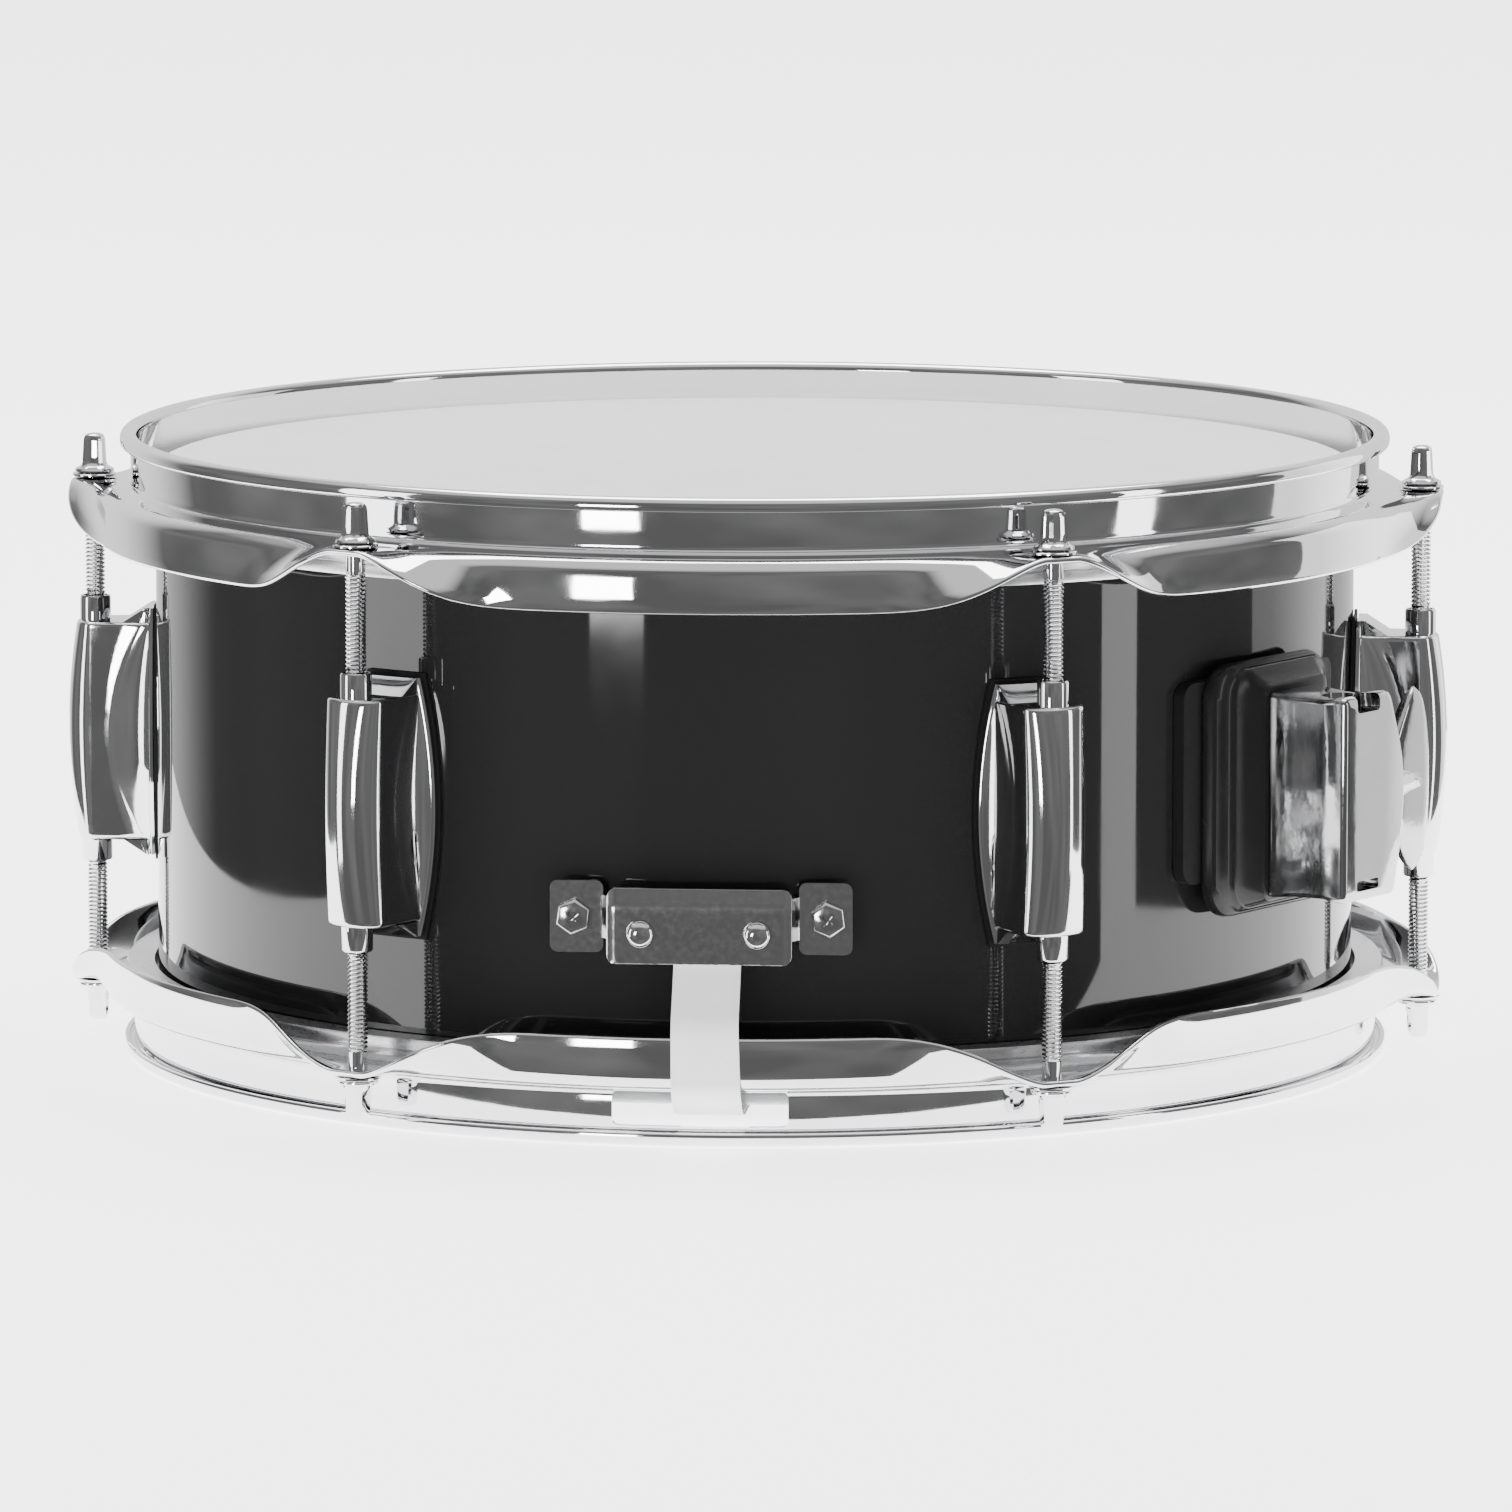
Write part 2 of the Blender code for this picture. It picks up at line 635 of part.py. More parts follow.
def make_snare_wires():
    """The snares at rest against the lower head, as one slab with an end plate at each end."""
    look = material("snare_steel", (0.7, 0.7, 0.7), 1.0, 0.25)
    top = -(HEAD_RISE + 0.5 * MM)
    low = top - 2.2 * MM
    plate = 1.0 * MM
    start = -SNARE_HALF_LENGTH
    wide = SNARE_HALF_WIDTH + 3.0 * MM
    half = [(start, wide), (start + 9 * MM, wide), (start + 9 * MM, SNARE_HALF_WIDTH)]
    outline = half + [(-y, x) for y, x in reversed(half)]
    outline += [(-y, -x) for y, x in half] + [(y, -x) for y, x in reversed(half)]
    points = [Vector((x, y, MIDDLE + top)) for y, x in outline]
    under = [Vector((point.x, point.y, MIDDLE + low)) for point in points]
    wires = loft("snare_wires", [points, under], look)
    hinge = Vector((0, start + plate, MIDDLE + (top + low) / 2))
    wires.data.transform(Matrix.Translation(-hinge))
    wires.location = hinge


def make_strainer():
    """A lever on a pin between two rails draws a slide, which holds the strap and its adjusting knob."""
    cast = chrome("strainer")
    back = SHELL_RADIUS + GAP
    rows = rounded_rows(RAIL_LOW - 4 * MM, RAIL_HIGH + 4 * MM, RAIL_OUTER + 2 * MM, 4 * MM)
    rubber = material("strainer_rubber", (0.02, 0.02, 0.02), 0.0, 0.6)
    gasket = wrapped("strainer_gasket", rows, round_reach(back), round_reach(back + MM), 6, rubber)
    stand_at(gasket, STRAINER_AZIMUTH)
    floor = SLIDE_REACH - GAP
    bottom = back + MM + GAP
    channel = [
        (-RAIL_OUTER, bottom - 0.6 * MM),
        (0.0, bottom),
        (RAIL_OUTER, bottom - 0.6 * MM),
        (RAIL_OUTER, RAIL_REACH),
        (RAIL_INNER, RAIL_REACH),
        (RAIL_INNER, floor),
        (-RAIL_INNER, floor),
        (-RAIL_INNER, RAIL_REACH),
        (-RAIL_OUTER, RAIL_REACH),
    ]
    body = extruded("strainer_body", channel, upright_prism, RAIL_LOW, RAIL_HIGH, cast)
    pivot = front_point(0, PIVOT_REACH, PIVOT_RISE)
    change(body, peg(2.0 * MM, -20 * MM, 20 * MM, 10, pivot, SIDEWAYS), "DIFFERENCE")
    stand_at(body, STRAINER_AZIMUTH)
    pin = turned("strainer_pin", [(1.7 * MM, -15.8 * MM), (1.7 * MM, 15.8 * MM)], 10, chrome("pin"))
    turn = Matrix.Rotation(math.radians(STRAINER_AZIMUTH), 4, "Z")
    pin.matrix_world = turn @ Matrix.Translation(pivot) @ SIDEWAYS
    make_lever(pivot)
    make_slide()


def make_lever(pivot):
    """The lever's boss turns on the pin, and its arm lies up along the rails' outer edge at rest."""
    boss = 3.6 * MM
    lever = block(
        "strainer_lever",
        (-8 * MM, 8 * MM),
        (PIVOT_REACH, PIVOT_REACH + 7.2 * MM),
        (PIVOT_RISE - boss, PIVOT_RISE + boss),
        chrome("lever"),
    )
    arm = [
        (PIVOT_REACH + 3.8 * MM, PIVOT_RISE - boss + MM),
        (PIVOT_REACH + 7.6 * MM, PIVOT_RISE - boss + 0.5 * MM),
        (PIVOT_REACH + 9.0 * MM, PIVOT_RISE + 26 * MM),
        (PIVOT_REACH + 12.5 * MM, PIVOT_RISE + 46 * MM),
        (PIVOT_REACH + 9.5 * MM, PIVOT_RISE + 47 * MM),
        (PIVOT_REACH + 5.4 * MM, PIVOT_RISE + 26 * MM),
    ]
    change(lever, peg(boss, -8 * MM, 8 * MM, 16, pivot, SIDEWAYS), "UNION")
    change(lever, extruded("arm", arm, across_prism, -9 * MM, 9 * MM), "UNION")
    change(lever, peg(2.0 * MM, -20 * MM, 20 * MM, 10, pivot, SIDEWAYS), "DIFFERENCE")
    settle(lever, pivot, STRAINER_AZIMUTH)


def make_slide():
    """The slide runs between the rails. Its foot and the clamp plate hold the strap between them."""
    front = PIVOT_REACH - 4.0 * MM
    foot = 163.6 * MM
    inside = RAIL_INNER - GAP
    heights = (CLAMP_LOW, RAIL_HIGH + 2 * MM)
    slide = block("strainer_slide", (-inside, inside), (SLIDE_REACH, front), heights, chrome("slide"))
    wide = block("foot", (-18 * MM, 18 * MM), (SLIDE_REACH + MM, foot), (CLAMP_LOW, CLAMP_HIGH))
    change(slide, wide, "UNION")
    knob_seat = front_point(0, KNOB_REACH, RAIL_HIGH + 2 * MM)
    change(slide, peg(1.9 * MM, -12 * MM, 3 * MM, 8, knob_seat), "DIFFERENCE")
    plate_back = foot + 2 * GAP + STRAP
    plate = block(
        "strainer_clamp_plate",
        (-18 * MM, 18 * MM),
        (plate_back, plate_back + PLATE_STEEL),
        (CLAMP_LOW, CLAMP_HIGH),
        chrome("strainer_clamp"),
    )
    rise = (CLAMP_LOW + CLAMP_HIGH) / 2
    for number, spread in enumerate((-13.5 * MM, 13.5 * MM), start=1):
        hole = front_point(spread, foot, rise)
        change(plate, peg(1.9 * MM, -8 * MM, 8 * MM, 8, hole, OUTWARD), "DIFFERENCE")
        change(slide, peg(1.9 * MM, -8 * MM, 8 * MM, 8, hole, OUTWARD), "DIFFERENCE")
        name = f"strainer_clamp_screw_{number}"
        made = screw(name, 3.2 * MM, 2.4 * MM, 1.5 * MM, 5.2 * MM, 8, chrome("screw"))
        place_screw(made, spread, plate_back + PLATE_STEEL + GAP, rise, STRAINER_AZIMUTH)
    stand_at(slide, STRAINER_AZIMUTH)
    stand_at(plate, STRAINER_AZIMUTH)
    knob_profile = [
        (1.5 * MM, -9 * MM),
        (1.5 * MM, GAP),
        (5.2 * MM, GAP),
        (5.6 * MM, 1.2 * MM),
        (5.6 * MM, 7.5 * MM),
        (4.4 * MM, 8.6 * MM),
    ]
    knob = turned("strainer_knob", knob_profile, 16, chrome("knob"))
    turn = Matrix.Rotation(math.radians(STRAINER_AZIMUTH), 4, "Z")
    knob.matrix_world = turn @ Matrix.Translation(knob_seat)
    path = strap_path(foot + GAP + STRAP / 2, CLAMP_HIGH - MM, CLAMP_LOW - MM)
    make_strap("strainer_strap", path, STRAINER_AZIMUTH)


def make_bracket():
    """A gasket and a stepped plastic base carry the cast body, where a wing bolt clamps a rod."""
    rubber = material("bracket_rubber", (0.015, 0.015, 0.015), 0.0, 0.5)
    plastic = material("bracket_plastic", (0.012, 0.012, 0.012), 0.0, 0.3)
    back = SHELL_RADIUS + GAP
    pad_face = back + PAD_THICKNESS
    rows = rounded_rows(-22 * MM, 28 * MM, 34 * MM, 4 * MM)
    gasket = wrapped("bracket_gasket", rows, round_reach(back), round_reach(pad_face), 10, rubber)
    stand_at(gasket, BRACKET_AZIMUTH)

    def sloping(across, rise):
        past = max(0.0, abs(across) - PLINTH_HALF_WIDTH) / (BASE_HALF_WIDTH_BACK - PLINTH_HALF_WIDTH)
        return BASE_FACE - 2.4 * MM * past

    rows = rounded_rows(BASE_LOW, BASE_HIGH, BASE_HALF_WIDTH_BACK, 8 * MM)
    base = wrapped("bracket_base", rows, round_reach(pad_face + GAP), sloping, 8, plastic)
    depths = (BASE_FACE - 12 * MM, BASE_FACE + 9 * MM)
    trim = block("trim", (BASE_RIGHT, 40 * MM), depths, (-40 * MM, 40 * MM))
    change(base, make_plinth(), "UNION")
    change(base, trim, "DIFFERENCE")
    stand_at(base, BRACKET_AZIMUTH)
    make_bracket_body()


def make_plinth():
    """The base's raised middle, which slopes in to the foot of the cast body."""
    loops = []
    inner = (13.8 * MM, BASE_LOW + 3.4 * MM, BASE_HIGH - 5.6 * MM, 2.0 * MM)
    outer = (PLINTH_HALF_WIDTH, BASE_LOW + 1.5 * MM, BASE_HIGH - 1.3 * MM, 7.0 * MM)
    levels = ((BASE_FACE - MM, outer), (BASE_FACE, outer), (PLINTH_FACE, inner))
    for reach, (half, low, high, corner) in levels:
        cut = 0.3 * corner
        corners = [(-half + corner, low), (half - corner, low), (half - cut, low + cut), (half, low + corner)]
        corners += [(half, high - corner), (half - cut, high - cut), (half - corner, high)]
        corners += [(-half + corner, high), (-half + cut, high - cut), (-half, high - corner)]
        corners += [(-half, low + corner), (-half + cut, low + cut)]
        loops.append([front_point(across, reach, rise) for across, rise in corners])
    return loft("plinth", loops)


def body_corners(inset):
    """The cast body's outline from the front, whose side by the wing bolt bulges."""
    low = BODY_LOW + inset
    high = BODY_HIGH - inset
    right = [(10.8 * MM, low), (14.2 * MM, -13 * MM), (BODY_BULGE, 0.0), (13.0 * MM, 13 * MM)]
    right.append((8.6 * MM, high))
    pulled_in = [(across - inset, rise) for across, rise in right]
    return [(BODY_LEFT + inset, low), *pulled_in, (BODY_LEFT + inset, high)]


def make_bracket_body():
    loops = []
    for reach, inset in ((PLINTH_FACE + GAP, 0.0), (BODY_REACH - MM, 0.0), (BODY_REACH, MM)):
        loops.append([front_point(across, reach, rise) for across, rise in body_corners(inset)])
    body = loft("bracket_body", loops, chrome("bracket"))
    hole = front_point(ROD_HOLE_ACROSS, ROD_HOLE_REACH, 0)
    change(body, peg(ROD_HOLE, -40 * MM, 40 * MM, 16, hole), "DIFFERENCE")
    sides = (ROD_HOLE_ACROSS - 5.2 * MM, ROD_HOLE_ACROSS + 5.2 * MM)
    notch = block("notch", sides, (ROD_HOLE_REACH, 195 * MM), (BODY_HIGH - 4.2 * MM, BODY_HIGH + MM))
    change(body, notch, "DIFFERENCE")
    seat = front_point(0, ROD_HOLE_REACH, WING_RISE)
    change(body, peg(3.4 * MM, 2 * MM, 20 * MM, 10, seat, SIDEWAYS), "DIFFERENCE")
    stand_at(body, BRACKET_AZIMUTH)
    make_wing_bolt(seat)


def make_wing_bolt(seat):
    """A threaded shank, a cone hub, and two wings that sweep outwards past the base's edge."""
    face = BODY_BULGE + GAP
    profile = [
        (2.6 * MM, 4.3 * MM),
        (2.9 * MM, 5.1 * MM),
        (2.9 * MM, face),
        (5.3 * MM, face),
        (5.3 * MM, face + MM),
        (2.6 * MM, face + 12 * MM),
    ]
    look = chrome("wing_bolt")
    bolt = turned("bracket_wing_bolt", profile, 12, look)
    wing = []
    for rise, near, far, thickness in (
        (-23, 28.9, 31.6, 1.2),
        (-18, 24.0, 34.0, 1.7),
        (-9, 19.0, 35.3, 2.1),
        (0, 18.6, 35.6, 2.6),
        (9, 19.0, 35.3, 2.1),
        (18, 24.0, 34.0, 1.7),
        (23, 28.9, 31.6, 1.2),
    ):
        corners = ((-thickness, near), (thickness, near), (thickness, far), (-thickness, far))
        wing.append([Vector((rise * MM, side * MM, along * MM)) for side, along in corners])
    change(bolt, loft("wing", wing), "UNION")
    turn = Matrix.Rotation(math.radians(BRACKET_AZIMUTH), 4, "Z")
    bolt.matrix_world = turn @ Matrix.Translation(seat) @ SIDEWAYS


def main():
    clear_scene()
    make_shell()
    make_vent_grommet()
    make_heads()
    make_hoops()
    make_lugs()
    make_tension_rods()
    make_butt()
    make_snare_wires()
    make_strainer()
    make_bracket()


main()
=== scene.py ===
"""The looks of a 12 by 5.5 inch side snare drum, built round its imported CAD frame.

Metres, +Z up, with the origin at the centre of the batter head. A fitting is modelled at the front,
where "across" is X and "reach" is the distance from the drum's axis along -Y, and is then turned to
its azimuth about that axis. A "rise" is a height above the drum's middle plane.
"""

import json
import math

import bmesh
import bpy
from mathutils import Matrix, Vector


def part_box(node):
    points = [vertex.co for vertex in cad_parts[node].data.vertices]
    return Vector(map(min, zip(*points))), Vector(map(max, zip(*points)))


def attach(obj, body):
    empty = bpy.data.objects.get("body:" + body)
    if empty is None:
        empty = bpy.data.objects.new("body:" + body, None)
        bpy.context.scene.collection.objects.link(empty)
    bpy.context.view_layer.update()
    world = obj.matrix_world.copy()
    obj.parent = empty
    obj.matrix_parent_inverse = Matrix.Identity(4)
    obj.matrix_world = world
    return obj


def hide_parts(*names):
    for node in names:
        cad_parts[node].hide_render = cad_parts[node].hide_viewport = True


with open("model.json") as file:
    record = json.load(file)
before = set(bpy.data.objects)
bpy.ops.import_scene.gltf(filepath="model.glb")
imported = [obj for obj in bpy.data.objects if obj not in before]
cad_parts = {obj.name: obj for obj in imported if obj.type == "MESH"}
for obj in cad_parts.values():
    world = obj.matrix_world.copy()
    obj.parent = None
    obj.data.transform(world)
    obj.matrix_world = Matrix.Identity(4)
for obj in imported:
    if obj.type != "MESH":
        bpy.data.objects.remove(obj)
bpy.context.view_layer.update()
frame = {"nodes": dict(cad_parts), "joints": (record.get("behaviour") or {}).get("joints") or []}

MM = 0.001
SHELL_LOW, SHELL_HIGH = (Vector(corner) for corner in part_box("shell"))
SHELL_RADIUS = (SHELL_HIGH.x - SHELL_LOW.x) / 2
SHELL_HALF = (SHELL_HIGH.z - SHELL_LOW.z) / 2
MIDDLE = (SHELL_HIGH.z + SHELL_LOW.z) / 2
HEAD_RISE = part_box("batter_head")[1][2] - MIDDLE
JOINTS = {joint["name"]: joint for joint in frame["joints"]}
LUGS = range(1, 7)
ROD_PLACES = [Vector(JOINTS[f"batter_rod_{number}_turn"]["pos_m"]) for number in LUGS]
ROD_CIRCLE = ROD_PLACES[0].xy.length
EAR_TOP = ROD_PLACES[0].z - MIDDLE
GASKET_GAP = 0.3 * MM
ROD_HOLE_ACROSS = -2.0 * MM
ROD_HOLE_REACH = 178.0 * MM
WING_BOLT_RISE = -0.5 * MM
LUG_AZIMUTHS = [math.degrees(math.atan2(place.x, -place.y)) for place in ROD_PLACES]
BRACKET_AZIMUTH = 60
STRAINER_AZIMUTH = 180
VENT_AZIMUTH = -120
AROUND = 288

OUTWARD = Matrix.Rotation(math.radians(90), 4, "X")
SIDEWAYS = Matrix.Rotation(math.radians(90), 4, "Y")


# ---------------------------------------------------------------- materials


class Look:
    """A Principled material with short helpers for its procedural nodes."""

    def __init__(self, name, colour, roughness, metallic=0.0, **sockets):
        self.material = bpy.data.materials.new(name)
        self.material.use_nodes = True
        self.tree = self.material.node_tree
        self.shader = self.tree.nodes["Principled BSDF"]
        self.shader.inputs["Base Color"].default_value = (*colour, 1.0)
        self.shader.inputs["Roughness"].default_value = roughness
        self.shader.inputs["Metallic"].default_value = metallic
        for socket, value in sockets.items():
            self.shader.inputs[socket.replace("_", " ")].default_value = value
        self.place = self.tree.nodes.new("ShaderNodeTexCoord").outputs["Object"]

    def node(self, kind, **values):
        made = self.tree.nodes.new(kind)
        for socket, value in values.items():
            made.inputs[socket.replace("_", " ")].default_value = value
        return made

    def noise(self, size, detail=3.0, stretch=(1, 1, 1)):
        """Noise whose blotches are about this many metres across."""
        mapping = self.node("ShaderNodeMapping", Scale=stretch)
        noise = self.node("ShaderNodeTexNoise", Scale=1.0 / size, Detail=detail)
        self.tree.links.new(self.place, mapping.inputs["Vector"])
        self.tree.links.new(mapping.outputs["Vector"], noise.inputs["Vector"])
        return noise.outputs["Fac"]

    def spots(self, size):
        """Round cells about this many metres apart, as the distance from each cell's centre."""
        cells = self.node("ShaderNodeTexVoronoi", Scale=1.0 / size)
        self.tree.links.new(self.place, cells.inputs["Vector"])
        return cells.outputs["Distance"]

    def remap(self, value, low, high, to_low, to_high):
        made = self.node("ShaderNodeMapRange")
        made.inputs["From Min"].default_value = low
        made.inputs["From Max"].default_value = high
        made.inputs["To Min"].default_value = to_low
        made.inputs["To Max"].default_value = to_high
        self.tree.links.new(value, made.inputs["Value"])
        return made.outputs["Result"]

    def rough(self, value, low, high):
        self.tree.links.new(self.remap(value, 0.3, 0.7, low, high), self.shader.inputs["Roughness"])
        return self

    def tint(self, value, dark, light, low=0.3, high=0.7):
        """Colours the surface between two colours by a value."""
        mix = self.node("ShaderNodeMix")
        mix.data_type = "RGBA"
        mix.inputs[6].default_value = (*dark, 1.0)
        mix.inputs[7].default_value = (*light, 1.0)
        self.tree.links.new(self.remap(value, low, high, 0.0, 1.0), mix.inputs[0])
        self.tree.links.new(mix.outputs[2], self.shader.inputs["Base Color"])
        return self

    def bump(self, value, depth, strength=1.0):
        made = self.node("ShaderNodeBump", Strength=strength, Distance=depth)
        self.tree.links.new(value, made.inputs["Height"])
        earlier = self.shader.inputs["Normal"].links
        if earlier:
            self.tree.links.new(earlier[0].from_socket, made.inputs["Normal"])
        self.tree.links.new(made.outputs["Normal"], self.shader.inputs["Normal"])
        return self


def make_looks():
    chrome = Look("mirror_chrome", (0.80, 0.80, 0.81), 0.05, 1.0)
    chrome.rough(chrome.noise(18 * MM, 5), 0.025, 0.075).bump(chrome.noise(9 * MM, 2), 0.012 * MM)
    cast = Look("cast_chrome", (0.78, 0.78, 0.79), 0.06, 1.0)
    cast.rough(cast.noise(9 * MM, 4), 0.03, 0.09).bump(cast.noise(11 * MM, 2), 0.03 * MM)
    satin = Look("satin_chrome", (0.50, 0.50, 0.505), 0.09, 1.0)
    satin.rough(satin.noise(9 * MM, 4), 0.05, 0.13).bump(satin.noise(7 * MM, 3), 0.05 * MM)
    nickel = Look("nickel_plate", (0.72, 0.72, 0.72), 0.16, 1.0)
    # Sparse small specks of brighter colour in the plating: painted glints.
    nickel.tint(nickel.spots(1.5 * MM), (0.95, 0.95, 0.95), (0.66, 0.66, 0.66), 0.03, 0.08)
    nickel.rough(nickel.noise(1.4 * MM, 6), 0.12, 0.20).bump(nickel.noise(7 * MM, 2), 0.006 * MM)
    lacquer = Look("black_lacquer", (0.011, 0.011, 0.0115), 0.04)
    lacquer.rough(lacquer.noise(30 * MM, 6), 0.02, 0.06).bump(lacquer.noise(14 * MM, 1), 0.006 * MM)
    plies = Look("shell_plies", (0.45, 0.30, 0.17), 0.5)
    plies.tint(plies.noise(4 * MM, 4, (1, 1, 9)), (0.36, 0.23, 0.12), (0.55, 0.38, 0.22))
    plies.bump(plies.noise(1 * MM, 4, (1, 1, 6)), 0.1 * MM)
    coated = Look("sprayed_coating", (0.95, 0.95, 0.945), 0.62)
    coated.tint(coated.noise(22 * MM, 5), (0.93, 0.93, 0.925), (0.97, 0.97, 0.965))
    coated.bump(coated.noise(0.45 * MM, 2), 0.06 * MM).bump(coated.spots(0.9 * MM), 0.04 * MM)
    film = Look("hazy_film", (0.86, 0.88, 0.89), 0.14, 0.0, Transmission_Weight=0.75, IOR=1.3)
    film.rough(film.noise(25 * MM, 4), 0.10, 0.20)
    aluminium = Look("flesh_hoop", (0.74, 0.74, 0.75), 0.32, 1.0)
    aluminium.rough(aluminium.noise(1.5 * MM, 4, (1, 1, 8)), 0.25, 0.42)
    rubber = Look("moulded_rubber", (0.009, 0.009, 0.009), 0.6, 0.0, Specular_IOR_Level=0.12)
    rubber.rough(rubber.noise(4 * MM, 4), 0.45, 0.65).bump(rubber.noise(0.5 * MM, 3), 0.03 * MM)
    plastic = Look("moulded_plastic", (0.008, 0.008, 0.008), 0.24, 0.0, Specular_IOR_Level=0.25)
    plastic.rough(plastic.noise(6 * MM, 4), 0.20, 0.28).bump(plastic.noise(0.35 * MM, 2), 0.002 * MM)
    strap = Look("milky_strap", (0.94, 0.94, 0.94), 0.36)
    strap.tint(strap.noise(9 * MM, 3, (1, 1, 0.2)), (0.90, 0.90, 0.90), (0.96, 0.96, 0.96))
    strap.bump(strap.noise(1.2 * MM, 2, (8, 8, 0.3)), 0.02 * MM)
    wire = Look("snare_wire", (0.72, 0.72, 0.72), 0.2, 1.0)
    wire.rough(wire.noise(3 * MM, 3), 0.14, 0.28)
    made = dict(chrome=chrome, cast=cast, satin=satin, nickel=nickel, lacquer=lacquer, plies=plies)
    made.update(coated=coated, film=film, aluminium=aluminium, rubber=rubber, plastic=plastic)
    made.update(strap=strap, wire=wire)
    return {name: look.material for name, look in made.items()}


LOOKS = make_looks()
SLOTS = dict(chrome="chrome", cast="chrome", satin="chrome", nickel="plated_steel", lacquer="shell_lacquer")
SLOTS.update(plies="shell_lacquer", coated="coated_film", film="clear_film", aluminium="aluminium")
SLOTS.update(rubber="rubber", plastic="black_plastic", strap="strap_plastic", wire="snare_steel")


# ---------------------------------------------------------------- shape helpers


def front_point(across, reach, rise):
    return Vector((across, -reach, MIDDLE + rise))


def mesh_of(name, points, faces, corner=35):
    """A mesh with its faces turned outwards, smooth but for edges sharper than the corner angle."""
    mesh = bpy.data.meshes.new(name)
    mesh.from_pydata(points, [], faces)
    shape = bmesh.new()
    shape.from_mesh(mesh)
    bmesh.ops.recalc_face_normals(shape, faces=shape.faces)
    shape.to_mesh(mesh)
    shape.free()
    mesh.shade_smooth()
    mesh.set_sharp_from_angle(angle=math.radians(corner))
    return mesh


def loft_mesh(name, loops, closed=False, corner=35):
    """A mesh through loops of equally many points, capped at its ends unless it closes on itself."""
    size = len(loops[0])
    points = [point for loop in loops for point in loop]
    faces = []
    for span in range(len(loops) if closed else len(loops) - 1):
        near = span * size
        far = (span + 1) % len(loops) * size
        for step in range(size):
            after = (step + 1) % size
            faces.append((near + step, near + after, far + after, far + step))
    if not closed:
        faces.append(tuple(range(size)))
        faces.append(tuple(range(len(points) - size, len(points))))
    return mesh_of(name, points, faces, corner)


def show(name, mesh, look, body, replaced=(), at=None):
    """Shows a mesh as a piece of the drum that rides on a body and stands for CAD nodes."""
    piece = bpy.data.objects.new(name, mesh)
    bpy.context.scene.collection.objects.link(piece)
    if not mesh.materials:
        mesh.materials.append(LOOKS[look])
    if at is not None:
        piece.matrix_world = at
    bpy.context.view_layer.update()
    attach(piece, body)
    if replaced:
        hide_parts(*replaced)
    return piece


def turn_to(azimuth):
    return Matrix.Rotation(math.radians(azimuth), 4, "Z")


def circle(radius, height, sides):
    turns = [math.tau * step / sides for step in range(sides)]
    return [Vector((radius * math.cos(turn), radius * math.sin(turn), height)) for turn in turns]


def turned_mesh(name, profile, sides, corner=35):
    """A solid turned about its own Z from (radius, height) pairs in millimetres, end to end."""
    loops = [circle(radius * MM, height * MM, sides) for radius, height in profile]
    return loft_mesh(name, loops, corner=corner)


def ring_mesh(name, section, steps=AROUND, corner=35):
    """A ring about the drum's axis with a closed section of (radius, z) pairs in metres."""
    loops = []
    for step in range(steps):
        turn = math.tau * step / steps
        loops.append([Vector((r * math.sin(turn), -r * math.cos(turn), z)) for r, z in section])
    return loft_mesh(name, loops, closed=True, corner=corner)


def softened(path, cuts, steps=5):
    """A path whose inner corners are rounded off; cuts gives how far before and after each corner."""
    spots = [Vector(pair) for pair in path]
    made = [spots[0]]
    for index in range(1, len(spots) - 1):
        corner = spots[index]
        before = corner + (spots[index - 1] - corner).normalized() * cuts[index - 1]
        after = corner + (spots[index + 1] - corner).normalized() * cuts[index - 1]
        for step in range(steps + 1):
            share = step / steps
            first = before.lerp(corner, share)
            made.append(first.lerp(corner.lerp(after, share), share))
    return made + [spots[-1]]


def thickened(spots, thickness):
    """The closed outline of a strip of even thickness along a path of pairs, with round ends."""
    left = []
    right = []
    ends = []
    for index, spot in enumerate(spots):
        before = (spot - spots[index - 1]).normalized() if index else None
        after = (spots[index + 1] - spot).normalized() if index + 1 < len(spots) else before
        before = before or after
        along = (before + after).normalized()
        side = Vector((-along.y, along.x)) * thickness / 2 / max(0.4, along.dot(after))
        left.append(spot + side)
        right.append(spot - side)
        ends.append((spot, along, side))
    caps = []
    for (spot, along, side), way in ((ends[-1], 1), (ends[0], -1)):
        cap = []
        for turn in (30, 60, 90, 120, 150):
            outward = math.sin(math.radians(turn)) * thickness / 2 * way
            sideways = side * math.cos(math.radians(turn)) * way
            cap.append(spot - along * thickness / 2 * way + along * outward + sideways)
        caps.append(cap)
    left[-1] -= ends[-1][1] * thickness / 2
    right[-1] -= ends[-1][1] * thickness / 2
    left[0] += ends[0][1] * thickness / 2
    right[0] += ends[0][1] * thickness / 2
    return left + caps[0] + right[::-1] + caps[1]


def sheet_mesh(name, rows, place, thickness, columns, corner=35):
    """A plate of (rise, half width) rows; place(across, rise) gives the reach of its back."""
    loops = []
    for rise, half in rows:
        steps = [half * (2 * column / columns - 1) for column in range(columns + 1)]
        back = [front_point(across, place(across, rise), rise) for across in steps]
        face = [front_point(across, place(across, rise) + thickness, rise) for across in reversed(steps)]
        loops.append(back + face)
    return loft_mesh(name, loops, corner=corner)


def rounded_rows(low, high, half, radius, steps=6, middle=1):
    """Rows of a plate with round corners, bottom to top."""
    rows = []
    for step in range(steps + 1):
        turn = math.radians(90 * step / steps)
        rows.append((low + radius * (1 - math.cos(turn)), half - radius * (1 - math.sin(turn))))
    straight = high - low - 2 * radius
    between = [(low + radius + straight * step / (middle + 1), half) for step in range(1, middle + 1)]
    return rows + between + [(low + high - rise, width) for rise, width in reversed(rows)]


